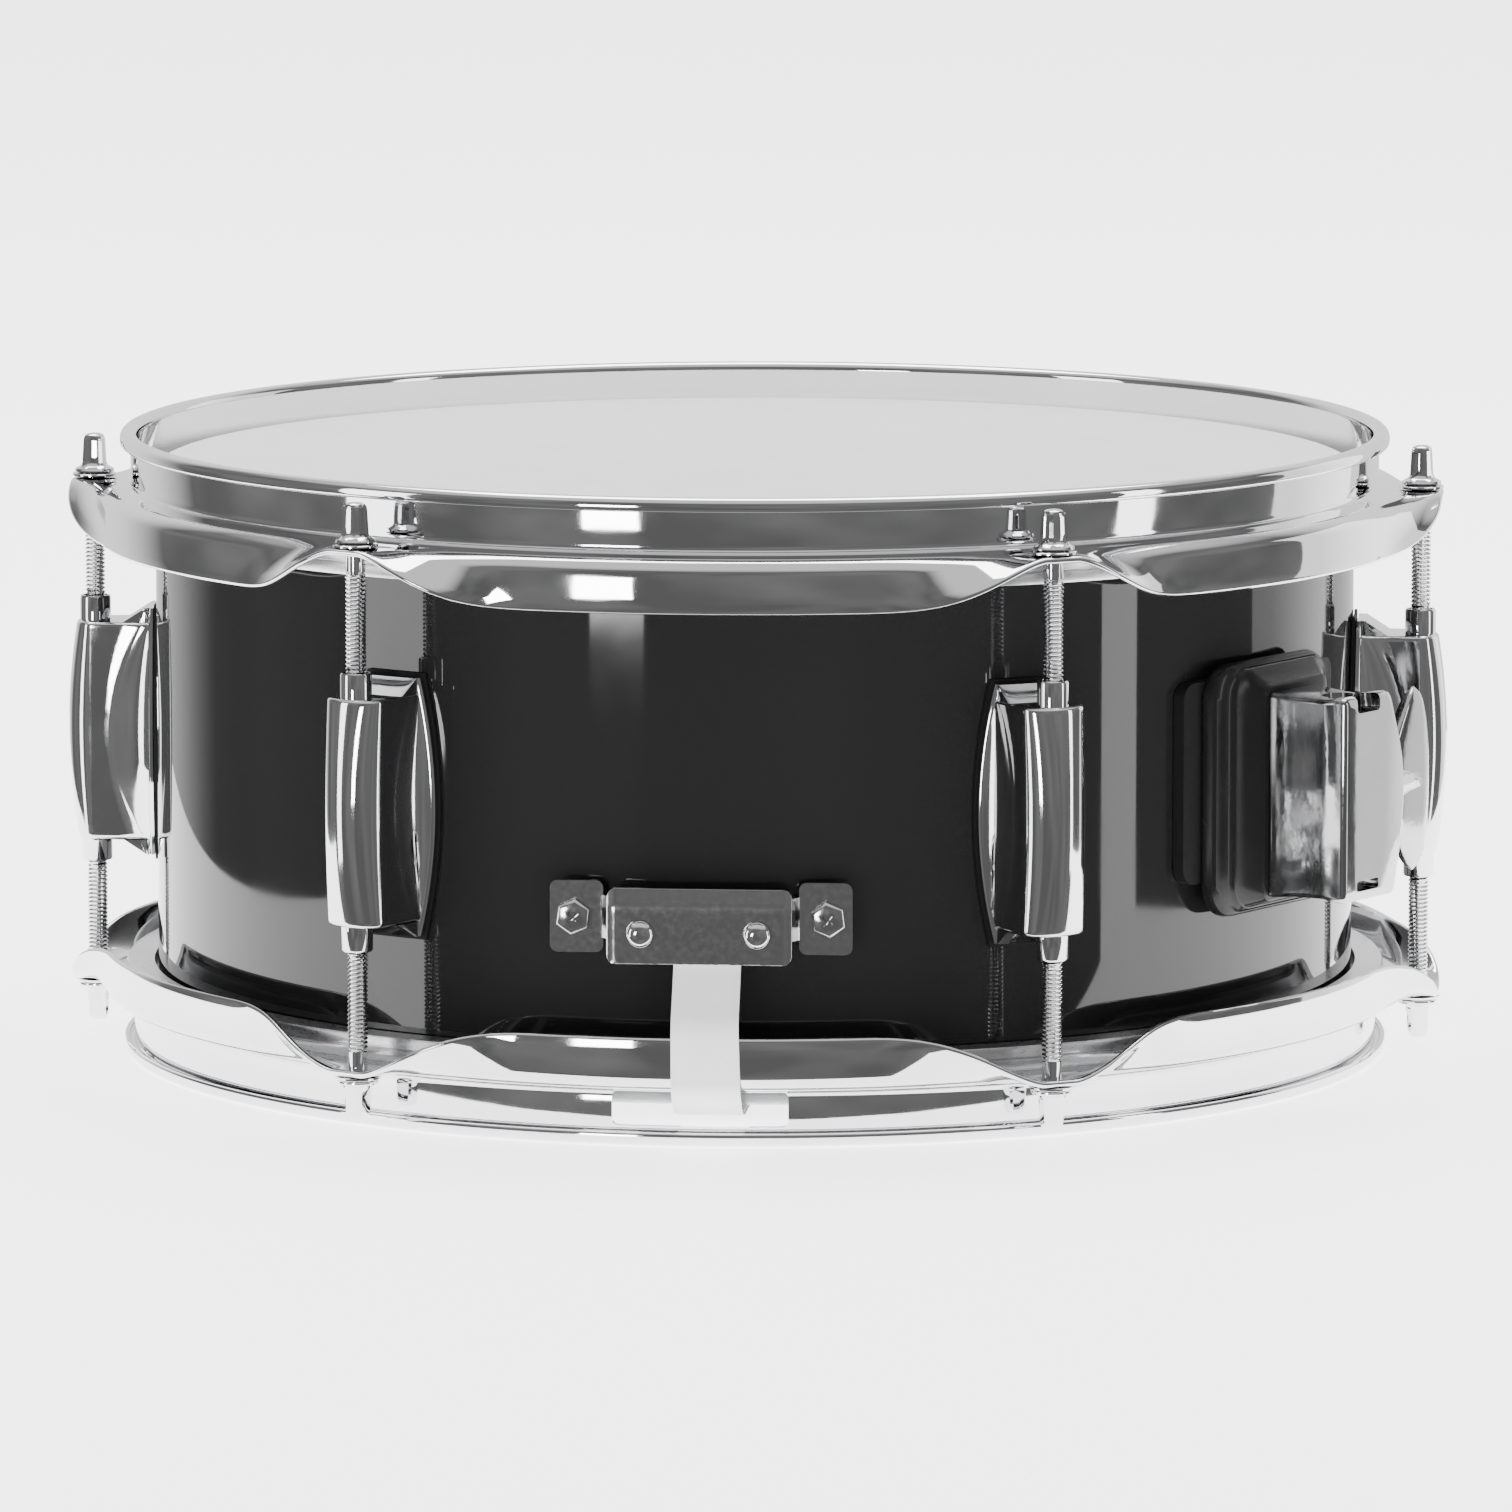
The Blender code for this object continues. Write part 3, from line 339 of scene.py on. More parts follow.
def rounded_loop(half_width, low, high, radius, steps=4):
    """Corners of a rounded rectangle as (across, rise) pairs, in order round it."""
    loop = []
    centres = ((1, high, 0), (-1, high, 90), (-1, low, 180), (1, low, 270))
    for side, edge, start in centres:
        inward = -1 if edge == high else 1
        for step in range(steps + 1):
            turn = math.radians(start + 90 * step / steps)
            across = side * (half_width - radius) + radius * math.cos(turn)
            loop.append((across, edge + inward * radius + radius * math.sin(turn)))
    return loop


def boolean(mesh, tools, operation="DIFFERENCE", corner=35):
    """A mesh changed by tool meshes that are in place."""
    target = bpy.data.objects.new("target", mesh)
    bpy.context.scene.collection.objects.link(target)
    for tool_mesh in tools:
        tool = bpy.data.objects.new("tool", tool_mesh)
        bpy.context.scene.collection.objects.link(tool)
        modifier = target.modifiers.new(operation, "BOOLEAN")
        modifier.operation = operation
        modifier.object = tool
        bpy.context.view_layer.update()
        graph = bpy.context.evaluated_depsgraph_get()
        changed = bpy.data.meshes.new_from_object(target.evaluated_get(graph))
        target.modifiers.clear()
        target.data = changed
        bpy.data.objects.remove(tool)
    made = target.data
    bpy.data.objects.remove(target)
    made.shade_smooth()
    made.set_sharp_from_angle(angle=math.radians(corner))
    return made


def moved(mesh, matrix):
    mesh.transform(matrix)
    return mesh


def soften(piece, width):
    """Rounds a piece's sharp edges with a bevel this many millimetres wide."""
    bevel = piece.modifiers.new("Bevel", "BEVEL")
    bevel.width = width * MM
    bevel.segments = 3
    bevel.limit_method = "ANGLE"
    bevel.angle_limit = math.radians(40)
    bevel.harden_normals = True
    return piece


def refine(node, look, body, width=0.35):
    """A copy of a CAD node with its edges rounded, which stands for it."""
    source = frame["nodes"][node]
    mesh = source.data.copy()
    mesh.transform(source.matrix_world)
    mesh.materials.clear()
    shape = bmesh.new()
    shape.from_mesh(mesh)
    bmesh.ops.remove_doubles(shape, verts=shape.verts, dist=2e-6)
    bmesh.ops.dissolve_limit(shape, angle_limit=math.radians(1.5), verts=shape.verts, edges=shape.edges)
    shape.to_mesh(mesh)
    shape.free()
    mesh.shade_smooth()
    return soften(show(node + "_fine", mesh, look, body, (node,)), width)


# ---------------------------------------------------------------- camera, lights and floor


def look_from(spot, target):
    return (target - spot).to_track_quat("-Z", "Y").to_matrix().to_4x4()


def make_camera():
    azimuth = math.radians(4.85)
    elevation = math.radians(7.8)
    distance = 2.9
    target = Vector((0, 0, MIDDLE))
    level = distance * math.cos(elevation)
    offset = Vector((level * math.sin(azimuth), -level * math.cos(azimuth), distance * math.sin(elevation)))
    camera = bpy.data.objects.new("camera", bpy.data.cameras.new("camera"))
    bpy.context.scene.collection.objects.link(camera)
    aim = target + Vector((0.3 * MM, 0, -5.6 * MM))
    camera.matrix_world = Matrix.Translation(target + offset) @ look_from(target + offset, aim)
    camera.data.sensor_width = 36
    camera.data.lens = 270.4
    camera.data.clip_end = 50
    bpy.context.scene.camera = camera


def area_light(name, spot, target, size, power, shape="RECTANGLE"):
    light = bpy.data.lights.new(name, "AREA")
    light.shape = shape
    light.size, light.size_y = size
    light.energy = power
    made = bpy.data.objects.new(name, light)
    bpy.context.scene.collection.objects.link(made)
    spot, target = Vector(spot), Vector(target)
    made.matrix_world = Matrix.Translation(spot) @ look_from(spot, target)
    return made


def make_world():
    """A grey room in front of the drum, which turns white behind it and overhead."""
    world = bpy.data.worlds.new("studio")
    bpy.context.scene.world = world
    world.use_nodes = True
    nodes, links = world.node_tree.nodes, world.node_tree.links
    split = nodes.new("ShaderNodeSeparateXYZ")
    place = nodes.new("ShaderNodeTexCoord").outputs["Generated"]
    links.new(place, split.inputs["Vector"])
    shares = []
    for axis, dark, light, most in (("Y", 0.42, 0.85, 1.4), ("Z", 0.45, 0.80, 0.9)):
        share = nodes.new("ShaderNodeMapRange")
        share.interpolation_type = "SMOOTHSTEP"
        share.inputs["From Min"].default_value = dark
        share.inputs["From Max"].default_value = light
        share.inputs["To Max"].default_value = most
        links.new(split.outputs[axis], share.inputs["Value"])
        shares.append(share.outputs["Result"])
    room = nodes.new("ShaderNodeTexNoise")
    room.inputs["Scale"].default_value = 2.2
    links.new(place, room.inputs["Vector"])
    dim = nodes.new("ShaderNodeMapRange")
    dim.inputs["From Min"].default_value = 0.35
    dim.inputs["From Max"].default_value = 0.65
    dim.inputs["To Min"].default_value = 0.13
    dim.inputs["To Max"].default_value = 0.22
    links.new(room.outputs["Fac"], dim.inputs["Value"])
    strength = dim.outputs["Result"]
    for share in shares:
        brighter = nodes.new("ShaderNodeMath")
        brighter.operation = "MAXIMUM"
        links.new(strength, brighter.inputs[0])
        links.new(share, brighter.inputs[1])
        strength = brighter.outputs["Value"]
    background = nodes["Background"]
    background.inputs["Color"].default_value = (1, 1, 1, 1)
    links.new(strength, background.inputs["Strength"])


def light_at(name, azimuth, elevation, distance, size, power):
    """A softbox that faces the drum from an azimuth and elevation in degrees."""
    centre = Vector((0, 0, MIDDLE))
    level = distance * math.cos(math.radians(elevation))
    turn = math.radians(azimuth)
    rise = distance * math.sin(math.radians(elevation))
    spot = centre + Vector((level * math.sin(turn), -level * math.cos(turn), rise))
    area_light(name, spot, centre, size, power)


def make_lights():
    make_world()
    light_at("left_strip", -65, 4, 2.4, (0.60, 1.6), 14)
    light_at("right_strip", 76, 4, 2.4, (0.34, 1.6), 8)
    light_at("right_panel", 128, 6, 2.6, (1.5, 1.9), 12)
    light_at("top_panel", 180, 72, 2.4, (2.2, 1.4), 85)
    light_at("front_softbox", -20.5, 0.2, 2.8, (0.49, 0.60), 15)


FLOOR_HALF = 14.0
MIRRORED_SIDE = 0.45
MIRRORED_FRONT = -0.19
MIRRORED_BACK = 0.6
FLOOR_GLOW = 3.0


def make_floor():
    """A pale floor. Mirrors see its part beside and behind the drum, and past it into the room in front."""
    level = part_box("snare_hoop")[0][2] - 0.2 * MM
    paint = Look("pale_floor", (0.93, 0.93, 0.93), 0.6)
    paint.shader.inputs["Emission Color"].default_value = (1, 1, 1, 1)
    paint.shader.inputs["Emission Strength"].default_value = FLOOR_GLOW
    across = (-FLOOR_HALF, -MIRRORED_SIDE, MIRRORED_SIDE, FLOOR_HALF)
    along = (-FLOOR_HALF, MIRRORED_FRONT, MIRRORED_BACK, FLOOR_HALF)
    points = [Vector((x, y, level)) for y in along for x in across]
    faces = [(4 * row + column, 4 * row + column + 1, 4 * row + column + 5, 4 * row + column + 4)
             for row in range(3) for column in range(3)]
    middle = faces.pop(4)
    for name, parts, mirrored in (("floor_near", [middle], True), ("floor_far", faces, False)):
        mesh = mesh_of(name, points, parts)
        mesh.materials.append(paint.material)
        piece = bpy.data.objects.new(name, mesh)
        bpy.context.scene.collection.objects.link(piece)
        piece.visible_glossy = mirrored


# ---------------------------------------------------------------- shell and heads


def make_shell():
    inner = SHELL_RADIUS - 7.0 * MM
    crown = SHELL_RADIUS - 2.2 * MM
    upper = [
        Vector((inner, 0.0)),
        Vector((inner, SHELL_HALF - 5.0 * MM)),
        Vector((crown - 0.8 * MM, SHELL_HALF - 0.05 * MM)),
        Vector((crown, SHELL_HALF)),
        Vector((SHELL_RADIUS, SHELL_HALF - 2.0 * MM)),
        Vector((SHELL_RADIUS, SHELL_HALF - 6.0 * MM)),
    ]
    section = [(spot.x, MIDDLE + spot.y) for spot in upper]
    section += [(spot.x, MIDDLE - spot.y) for spot in reversed(upper[1:])]
    mesh = ring_mesh("shell", section, corner=40)
    mesh.materials.append(LOOKS["lacquer"])
    mesh.materials.append(LOOKS["plies"])
    for face in mesh.polygons:
        if face.center.xy.length < SHELL_RADIUS - 1.5 * MM:
            face.material_index = 1
    show("shell_lacquered", mesh, "lacquer", "drum", ("shell",))


def head_mesh(name, side):
    outline = [(0.02, 0.0), (40.0, 0.0), (110.0, 0.0), (149.6, 0.0), (150.9, -0.12), (151.9, -0.55)]
    outline += [(152.6, -1.2), (152.95, -2.1), (153.0, -3.0), (153.0, -9.4), (152.75, -9.4), (152.75, -2.4)]
    outline += [(152.2, -1.5), (151.4, -0.8), (150.4, -0.3), (0.02, -0.25)]
    loops = []
    for radius, drop in outline:
        loops.append(circle(radius * MM, MIDDLE + side * (HEAD_RISE + drop * MM), AROUND // 2))
    return loft_mesh(name, loops, corner=60)


def flesh_section(side):
    """The flesh hoop's channel, with a rolled outer edge."""
    top = HEAD_RISE - 7.9 * MM
    path = [(153.45, -6.0), (160.2, -6.0), (160.6, -5.2), (160.6, -3.4), (160.1, -3.0), (160.6, -2.6)]
    path += [(160.6, -0.7), (160.0, 0.0), (153.45, 0.0)]
    return [(radius * MM, MIDDLE + side * (top + rise * MM)) for radius, rise in path]


def make_heads():
    show("batter_head_film", head_mesh("batter_head", 1), "coated", "drum", ("batter_head",))
    show("snare_head_film", head_mesh("snare_head", -1), "film", "drum", ("snare_head",))
    for side, name in ((1, "batter_flesh_hoop"), (-1, "snare_flesh_hoop")):
        mesh = ring_mesh(name, flesh_section(side), corner=50)
        show(name + "_rolled", mesh, "aluminium", "drum", (name,))


# ---------------------------------------------------------------- hoops


HOOP_STEEL = 1.6 * MM
EAR_HALF_ANGLE = 1.4
SKIRT_EASE_ANGLE = 14.6


def skirt_share(azimuth):
    """0 at a lug's ear, where the third flange lies flat, and 1 where it hangs as the skirt."""
    away = abs(azimuth % 60 - 30)
    part = min(1.0, max(0.0, (away - EAR_HALF_ANGLE) / SKIRT_EASE_ANGLE))
    return (1 - math.cos(math.pi * part ** 0.72)) / 2


def hoop_section(azimuth):
    share = skirt_share(azimuth)
    tilt = math.radians(88) * share
    length = (11.2 + 2.0 * share) * MM
    start = Vector((163.8, -6.5)) * MM
    bend = start + 2.6 * MM * Vector((math.cos(tilt / 2), -math.sin(tilt / 2)))
    end = bend + (length - 2.6 * MM) * Vector((math.cos(tilt), -math.sin(tilt)))
    across = (end - bend).normalized()
    belly = (bend + end) / 2 + 0.3 * MM * share * Vector((-across.y, across.x))
    path = [
        Vector((160.5, 5.2)) * MM,
        Vector((160.6, 8.0)) * MM,
        Vector((157.5, 8.0)) * MM,
        Vector((157.85, 3.6)) * MM,
        Vector((157.85, -0.8)) * MM,
        Vector((157.6, -5.2)) * MM,
        start,
        bend,
        belly,
        end,
    ]
    soft = softened(path, [cut * MM for cut in (1.5, 1.5, 2.1, 2.1, 1.9, 1.1, 1.2, 2.4)])
    return [(spot.x, HEAD_RISE + spot.y) for spot in thickened(soft, HOOP_STEEL)]


def hoop_mesh(name, side, steps=720):
    loops = []
    for step in range(steps):
        azimuth = 360 * step / steps
        turn = math.radians(azimuth)
        loop = []
        for radius, rise in hoop_section(azimuth):
            loop.append(Vector((radius * math.sin(turn), -radius * math.cos(turn), MIDDLE + side * rise)))
        loops.append(loop)
    return loft_mesh(name, loops, closed=True, corner=50)


def make_hoops():
    show("batter_hoop_flanged", hoop_mesh("batter_hoop", 1), "chrome", "drum", ("batter_hoop",))
    gates = []
    for azimuth in (0, STRAINER_AZIMUTH):
        loop = rounded_loop(21.5 * MM, -74.5 * MM, -65.9 * MM, 1.6 * MM)
        loops = [[front_point(across, reach, rise) for across, rise in loop] for reach in (0.145, 0.1606)]
        gates.append(moved(loft_mesh("gate", loops), turn_to(azimuth)))
    mesh = boolean(hoop_mesh("snare_hoop", -1), gates, corner=50)
    show("snare_hoop_flanged", mesh, "chrome", "drum", ("snare_hoop",))


# ---------------------------------------------------------------- lugs and tension rods

BARREL_HALF = 28.0
LUG_HALF = 31.8


def lug_loop(rise):
    """The lug's outline at one height in millimetres: base, hollow cheeks, flat web and round barrel."""
    share = abs(rise) / BARREL_HALF
    base = 8.0 + 4.3 * (1 - (rise / LUG_HALF) ** 2)
    end_round = 0.0
    if share <= 1.0001:
        fade = max(0.0, abs(rise) - BARREL_HALF + 0.9) / 0.9
        end_round = 0.9 * (1 - math.sqrt(max(0.0, 1 - fade * fade)))
        shoulder = ROD_CIRCLE / MM
        depth = 7.0 - 2.4 * share * share - end_round
        crease = 156.2 + 8.6 * (1 - share * share)
    else:
        fade = (abs(rise) - BARREL_HALF) / (LUG_HALF - BARREL_HALF)
        shoulder = 161.5 - 5.9 * fade
        depth = 0.6
        crease = 156.0 - 0.6 * fade
    radius = SHELL_RADIUS / MM + 1.4
    back = math.sqrt(radius * radius - base * base)
    web = 8.0 - end_round
    side = [(base, back), (base, back + 0.7), (base - 0.35, back + 1.1), (base - 0.9, back + 1.3)]
    lip = side[-1]
    for step in range(1, 12):
        part = step / 12
        hollow = math.sin(math.pi * part) * 0.12
        across = lip[0] + (web - lip[0]) * (part + hollow)
        side.append((across, lip[1] + (crease - lip[1]) * (part - hollow)))
    side += [(web, crease), (web - 0.15, crease + 0.5), (web - 0.1, (crease + shoulder) / 2), (web, shoulder)]
    for step in range(1, 15):
        turn = math.radians(6 * step)
        side.append((web * math.cos(turn), shoulder + depth * math.sin(turn)))
    pairs = [(0.0, radius), *side]
    pairs += [(0.0, shoulder + depth)] + [(-across, reach) for across, reach in reversed(side)]
    return [front_point(across * MM, reach * MM, rise * MM) for across, reach in pairs]


def lug_mesh():
    half = [0.0, 3.0, 6.0, 9.0, 12.0, 15.0, 18.0, 20.5, 23.0, 25.0, 26.5, 27.1, 27.4, 27.7, 27.9, 28.0]
    half += [28.02, 29.0, 30.0, 31.0, LUG_HALF]
    rises = [-rise for rise in reversed(half[1:])] + half
    return loft_mesh("lug", [lug_loop(rise) for rise in rises], corner=32)


def bowed_rows(half_height, half_width, end_half_width, count):
    rows = []
    for step in range(count + 1):
        share = 2 * step / count - 1
        bow = (half_width - end_half_width) * (1 - share * share)
        rows.append((half_height * share, end_half_width + bow))
    return rows


def shell_reach(extra):
    """The reach of a surface this much outside the shell's face."""
    radius = SHELL_RADIUS + extra
    return lambda across, rise: math.sqrt(radius * radius - across * across)


def make_lugs():
    lug = lug_mesh()
    rows = bowed_rows(32.8 * MM, 13.0 * MM, 8.7 * MM, 24)
    gasket = sheet_mesh("gasket", rows, shell_reach(GASKET_GAP), 0.8 * MM, 8)
    outline = [(3.1, 27.5), (3.9, 27.5), (3.9, 33.7), (3.6, 34.2), (3.05, 34.2), (3.0, 33.0)]
    sleeve = turned_mesh("sleeve", outline, 32)
    for number, azimuth in zip(LUGS, LUG_AZIMUTHS):
        turn = turn_to(azimuth)
        show(f"lug_cast_{number}", lug, "cast", "drum", (f"lug_{number}",), turn)
        show(f"lug_gasket_moulded_{number}", gasket, "rubber", "drum", (f"lug_gasket_{number}",), turn)
        for side, word in ((0.0, "upper"), (math.pi, "lower")):
            place = turn @ Matrix.Translation(front_point(0, ROD_CIRCLE, 0)) @ Matrix.Rotation(side, 4, "X")
            show(f"swivel_nut_{word}_{number}", sleeve, "chrome", "drum", (), place)


THREAD_PITCH = 25.4 / 24


def thread_loops(low, high, major, depth, sides=20, rows_per_turn=8):
    """Loops of a screw thread along -Z to +Z, in millimetres, fading out at both ends."""
    loops = []
    count = int((high - low) / THREAD_PITCH * rows_per_turn)
    for row in range(count + 1):
        height = low + (high - low) * row / count
        fade = min(1.0, (height - low) / 0.8, (high - height) / 0.8)
        loop = []
        for step in range(sides):
            phase = (height / THREAD_PITCH - step / sides) % 1.0
            ridge = 1 - abs(2 * phase - 1)
            radius = (major - depth + depth * ridge * fade) * MM
            turn = math.tau * step / sides
            loop.append(Vector((radius * math.cos(turn), radius * math.sin(turn), height * MM)))
        loops.append(loop)
    return loops


def square_loop(half, height, round_off, sides=20):
    """A square with soft corners, as a loop with as many points as the thread's."""
    loop = []
    for point in circle(1.0, height * MM, sides):
        longest = max(abs(point.x), abs(point.y))
        reach = half * MM * (1 / longest * (1 - round_off) + round_off * 1.12)
        loop.append(Vector((point.x * reach, point.y * reach, height * MM)))
    return loop


COLLAR_STEPS = ((2.45, -5.8), (2.45, 1.1), (4.6, 1.15), (5.0, 1.35), (5.05, 1.7), (4.8, 2.1), (3.9, 2.5))
HEAD_STEPS = (
    (3.0, 3.0, 0.7),
    (2.75, 3.8, 0.4),
    (2.65, 5.2, 0.25),
    (2.45, 9.2, 0.25),
    (2.35, 10.0, 0.4),
    (2.05, 10.6, 0.6),
    (1.5, 10.95, 0.8),
    (0.6, 11.1, 1.0),
)


def rod_mesh():
    """A tension rod: thread, shank, collar and tapered square head, with its origin at the ear's top."""
    low = (20.0 - EAR_TOP / MM)
    loops = thread_loops(low, -6.0, 2.6, 0.42)
    for radius, height in COLLAR_STEPS:
        loops.append(circle(radius * MM, height * MM, 20))
    for half, height, soft in HEAD_STEPS:
        loops.append(square_loop(half, height, soft))
    return loft_mesh("tension_rod", loops, corner=28)


def make_rods():
    rod = rod_mesh()
    washer_outline = [(2.9, 0.35), (2.9, 0.1), (5.2, 0.1), (5.6, 0.3)]
    washer_outline += [(5.6, 0.75), (5.2, 1.0), (2.9, 1.0), (2.9, 0.6)]
    washer = turned_mesh("washer", washer_outline, 32)
    for side, word, flip in ((1, "batter", 0.0), (-1, "snare", math.pi)):
        for number, azimuth in zip(LUGS, LUG_AZIMUTHS):
            spot = front_point(0, ROD_CIRCLE, side * EAR_TOP)
            place = turn_to(azimuth) @ Matrix.Translation(spot) @ Matrix.Rotation(flip, 4, "X")
            spin = Matrix.Rotation(math.radians(9 * math.sin(2.1 * number)), 4, "Z")
            body = f"{word}_tension_{number}"
            node = f"{word}_rod_{number}"
            show(f"{word}_rod_threaded_{number}", rod, "chrome", body, (node,), place @ spin)
            show(f"{word}_washer_{number}", washer, "chrome", body, (), place)


# ---------------------------------------------------------------- butt plate, straps and snares

BUTT_RISE = -25.0


def screw_head(name, outline, sides, cross):
    """A screw with its head along +Z, and a cross cut in the head when cross is set."""
    mesh = turned_mesh(name, outline, sides)
    if not cross:
        return mesh
    top = max(height for radius, height in outline)
    cuts = []
    for turn in (0, 90):
        loops = [rounded_loop(0.42, -1.9, 1.9, 0.2, 2), rounded_loop(0.25, -1.2, 1.2, 0.1, 2)]
        levels = (top + 0.6, top - 1.3)
        corners = [[Vector((x * MM, y * MM, z * MM)) for x, y in loop] for loop, z in zip(loops, levels)]
        cuts.append(moved(loft_mesh("cut", corners), Matrix.Rotation(math.radians(turn + 20), 4, "Z")))
    return boolean(mesh, cuts)


def butt_mesh():
    """The bent strip behind the clamp plate, with a tab at each side that a screw holds to the shell."""
    tab_reach = SHELL_RADIUS / MM + 0.3
    parts = []
    centre = BUTT_RISE + 1.2
    rows = rounded_rows((centre - 8.8) * MM, (centre + 8.8) * MM, 6.5 * MM, 1.9 * MM)
    tab = sheet_mesh("tab", rows, lambda across, rise: tab_reach * MM, 1.4 * MM, 8)
    for side in (-1, 1):
        parts.append(moved(tab.copy(), Matrix.Translation((side * 30.3 * MM, 0, 0))))
    path = [(-25.5, tab_reach + 0.7), (-23.6, tab_reach + 0.7), (-21.3, 157.0), (21.3, 157.0)]
    path += [(23.6, tab_reach + 0.7), (25.5, tab_reach + 0.7)]
    soft = softened([Vector(pair) * MM for pair in path], (0.9 * MM,) * 4)
    outline = thickened(soft, 1.38 * MM)
    heights = ((centre - 5.2) * MM, (centre + 5.2) * MM)
    parts.append(loft_mesh("neck", [[front_point(x, r, rise) for x, r in outline] for rise in heights]))
    return parts


def make_butt():
    bracket, *rest = butt_mesh()
    bent = show("butt_bracket_bent", boolean(bracket, rest, "UNION"), "nickel", "drum", ("butt_bracket",))
    soften(bent, 0.35)
    bottom, bend, top = BUTT_RISE - 9.4, BUTT_RISE + 4.5, BUTT_RISE + 8.9

    def clamp_reach(across, rise):
        past = max(0.0, rise / MM - bend) / (top - bend)
        curl = max(0.0, abs(across) / MM - 20.9) / 1.6
        return (159.2 - 1.5 * past - 0.7 * curl * curl) * MM

    rows = rounded_rows(bottom * MM, top * MM, 22.5 * MM, 2.2 * MM, middle=14)
    plate = sheet_mesh("clamp", rows, clamp_reach, 1.4 * MM, 40)
    soften(show("butt_clamp_plate_bent", plate, "nickel", "drum", ("butt_clamp_plate",)), 0.4)
    dome = [(1.6, -5.0), (1.6, 0.0), (3.4, 0.0), (3.45, 0.4), (3.3, 1.2)]
    dome += [(2.8, 1.9), (2.0, 2.4), (1.0, 2.6), (0.1, 2.62)]
    clamp_screw = screw_head("clamp_screw", dome, 32, False)
    hexagon = [(1.8, -9.5), (1.8, 0.0), (4.4, 0.0), (4.4, 1.9), (4.0, 2.25), (3.6, 2.4), (0.1, 2.4)]
    mount_screw = screw_head("mount_screw", hexagon, 6, True)
    for number, side in ((1, -1), (2, 1)):
        spot = front_point(side * 14.2 * MM, 160.9 * MM, (BUTT_RISE - 2.0) * MM)
        place = Matrix.Translation(spot) @ OUTWARD
        node = f"butt_clamp_screw_{number}"
        show(f"butt_clamp_dome_{number}", clamp_screw, "chrome", "drum", (node,), place)
        spot = front_point(side * 31.0 * MM, SHELL_RADIUS + 2.0 * MM, (BUTT_RISE + 1.2) * MM)
        place = Matrix.Translation(spot) @ OUTWARD @ Matrix.Rotation(math.radians(30 + 7 * side), 4, "Z")
        node = f"butt_mount_screw_{number}"
        show(f"butt_mount_hex_{number}", mount_screw, "nickel", "drum", (node,), place)


STRAP_SHIFT = 1.9


def strap_mesh(name, clamp_reach, clamp_top, clamp_bottom, shift, half, lean):
    """One layer of a strap: from its clamp over the lower skirt and in through the gate."""
    under = -(HEAD_RISE / MM + 1.3) - shift
    outside = 168.0 + shift
    path = [(clamp_reach, clamp_top), (clamp_reach, clamp_bottom), (outside - 0.3, -48.5), (outside, -54.0)]
    path += [(outside, -64.5), (outside - 6.5, -70.8), (155.1, under), (127.5, under)]
    cuts = [MM * cut for cut in (2.5, 3.0, 2.0, 2.4, 2.4, 2.4)]
    soft = softened([Vector(pair) * MM for pair in path], cuts, 6)
    outline = thickened(soft, 0.34 * MM)
    loops = []
    for across in (-half, half):
        slant = [across + STRAP_SHIFT + lean * (pair.y / MM + 35) / 36 for pair in outline]
        loops.append([front_point(spot * MM, pair.x, pair.y) for spot, pair in zip(slant, outline)])
    return loft_mesh(name, loops, corner=40)


def make_strap(word, azimuth, body, clamp):
    for layer, shift, half, lean in (("outer", 0.19, 8.0, -0.95), ("inner", -0.19, 8.2, -0.2)):
        mesh = strap_mesh(f"{word}_{layer}", clamp[0] + shift, clamp[1], clamp[2], shift, half, lean)
        replaced = (f"{word}_strap",) if layer == "outer" else ()
        show(f"{word}_strap_{layer}", mesh, "strap", body, replaced, turn_to(azimuth))


def coil_mesh(length, radius, pitch, wire, steps=8, sides=4):
    """One snare: a coiled wire along Y, centred on the origin."""
    rounds = int(length / pitch)
    loops = []
    for step in range(rounds * steps + 1):
        turn = math.tau * step / steps
        along = -length / 2 + length * step / (rounds * steps)
        out = Vector((math.cos(turn), 0, math.sin(turn)))
        centre = Vector((0, along, 0)) + out * radius
        loop = []
        for corner in range(sides):
            bend = math.tau * corner / sides
            loop.append(centre + wire * (math.cos(bend) * out + math.sin(bend) * Vector((0, 1, 0))))
        loops.append(loop)
    return loft_mesh("coil", loops, corner=60)


def make_snares():
    low, high = (Vector(corner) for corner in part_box("snare_wires"))
    middle = (low + high) / 2
    plate_depth = 9.0 * MM
    length = high.y - low.y - 2 * plate_depth + 4 * MM
    coil = coil_mesh(length, 0.72 * MM, 1.55 * MM, 0.22 * MM)
    spacing = 2.55 * MM
    strands = 20
    for number in range(strands):
        across = (number - (strands - 1) / 2) * spacing
        place = Matrix.Translation((across, middle.y, middle.z))
        replaced = ("snare_wires",) if number == 0 else ()
        show(f"snare_coil_{number + 1}", coil, "wire", "snares", replaced, place)
    loop = rounded_loop(high.x, -plate_depth / 2, plate_depth / 2, 1.2 * MM)
    for side, word in ((-1, "butt"), (1, "strainer")):
        edge = low.y + plate_depth / 2 if side < 0 else high.y - plate_depth / 2
        levels = (middle.z - 1.0 * MM, middle.z + 0.9 * MM)
        loops = [[Vector((x, edge + y, z)) for x, y in loop] for z in levels]
        show(f"snare_end_plate_{word}", loft_mesh("end_plate", loops), "nickel", "snares")


# ---------------------------------------------------------------- strainer, bracket and vent


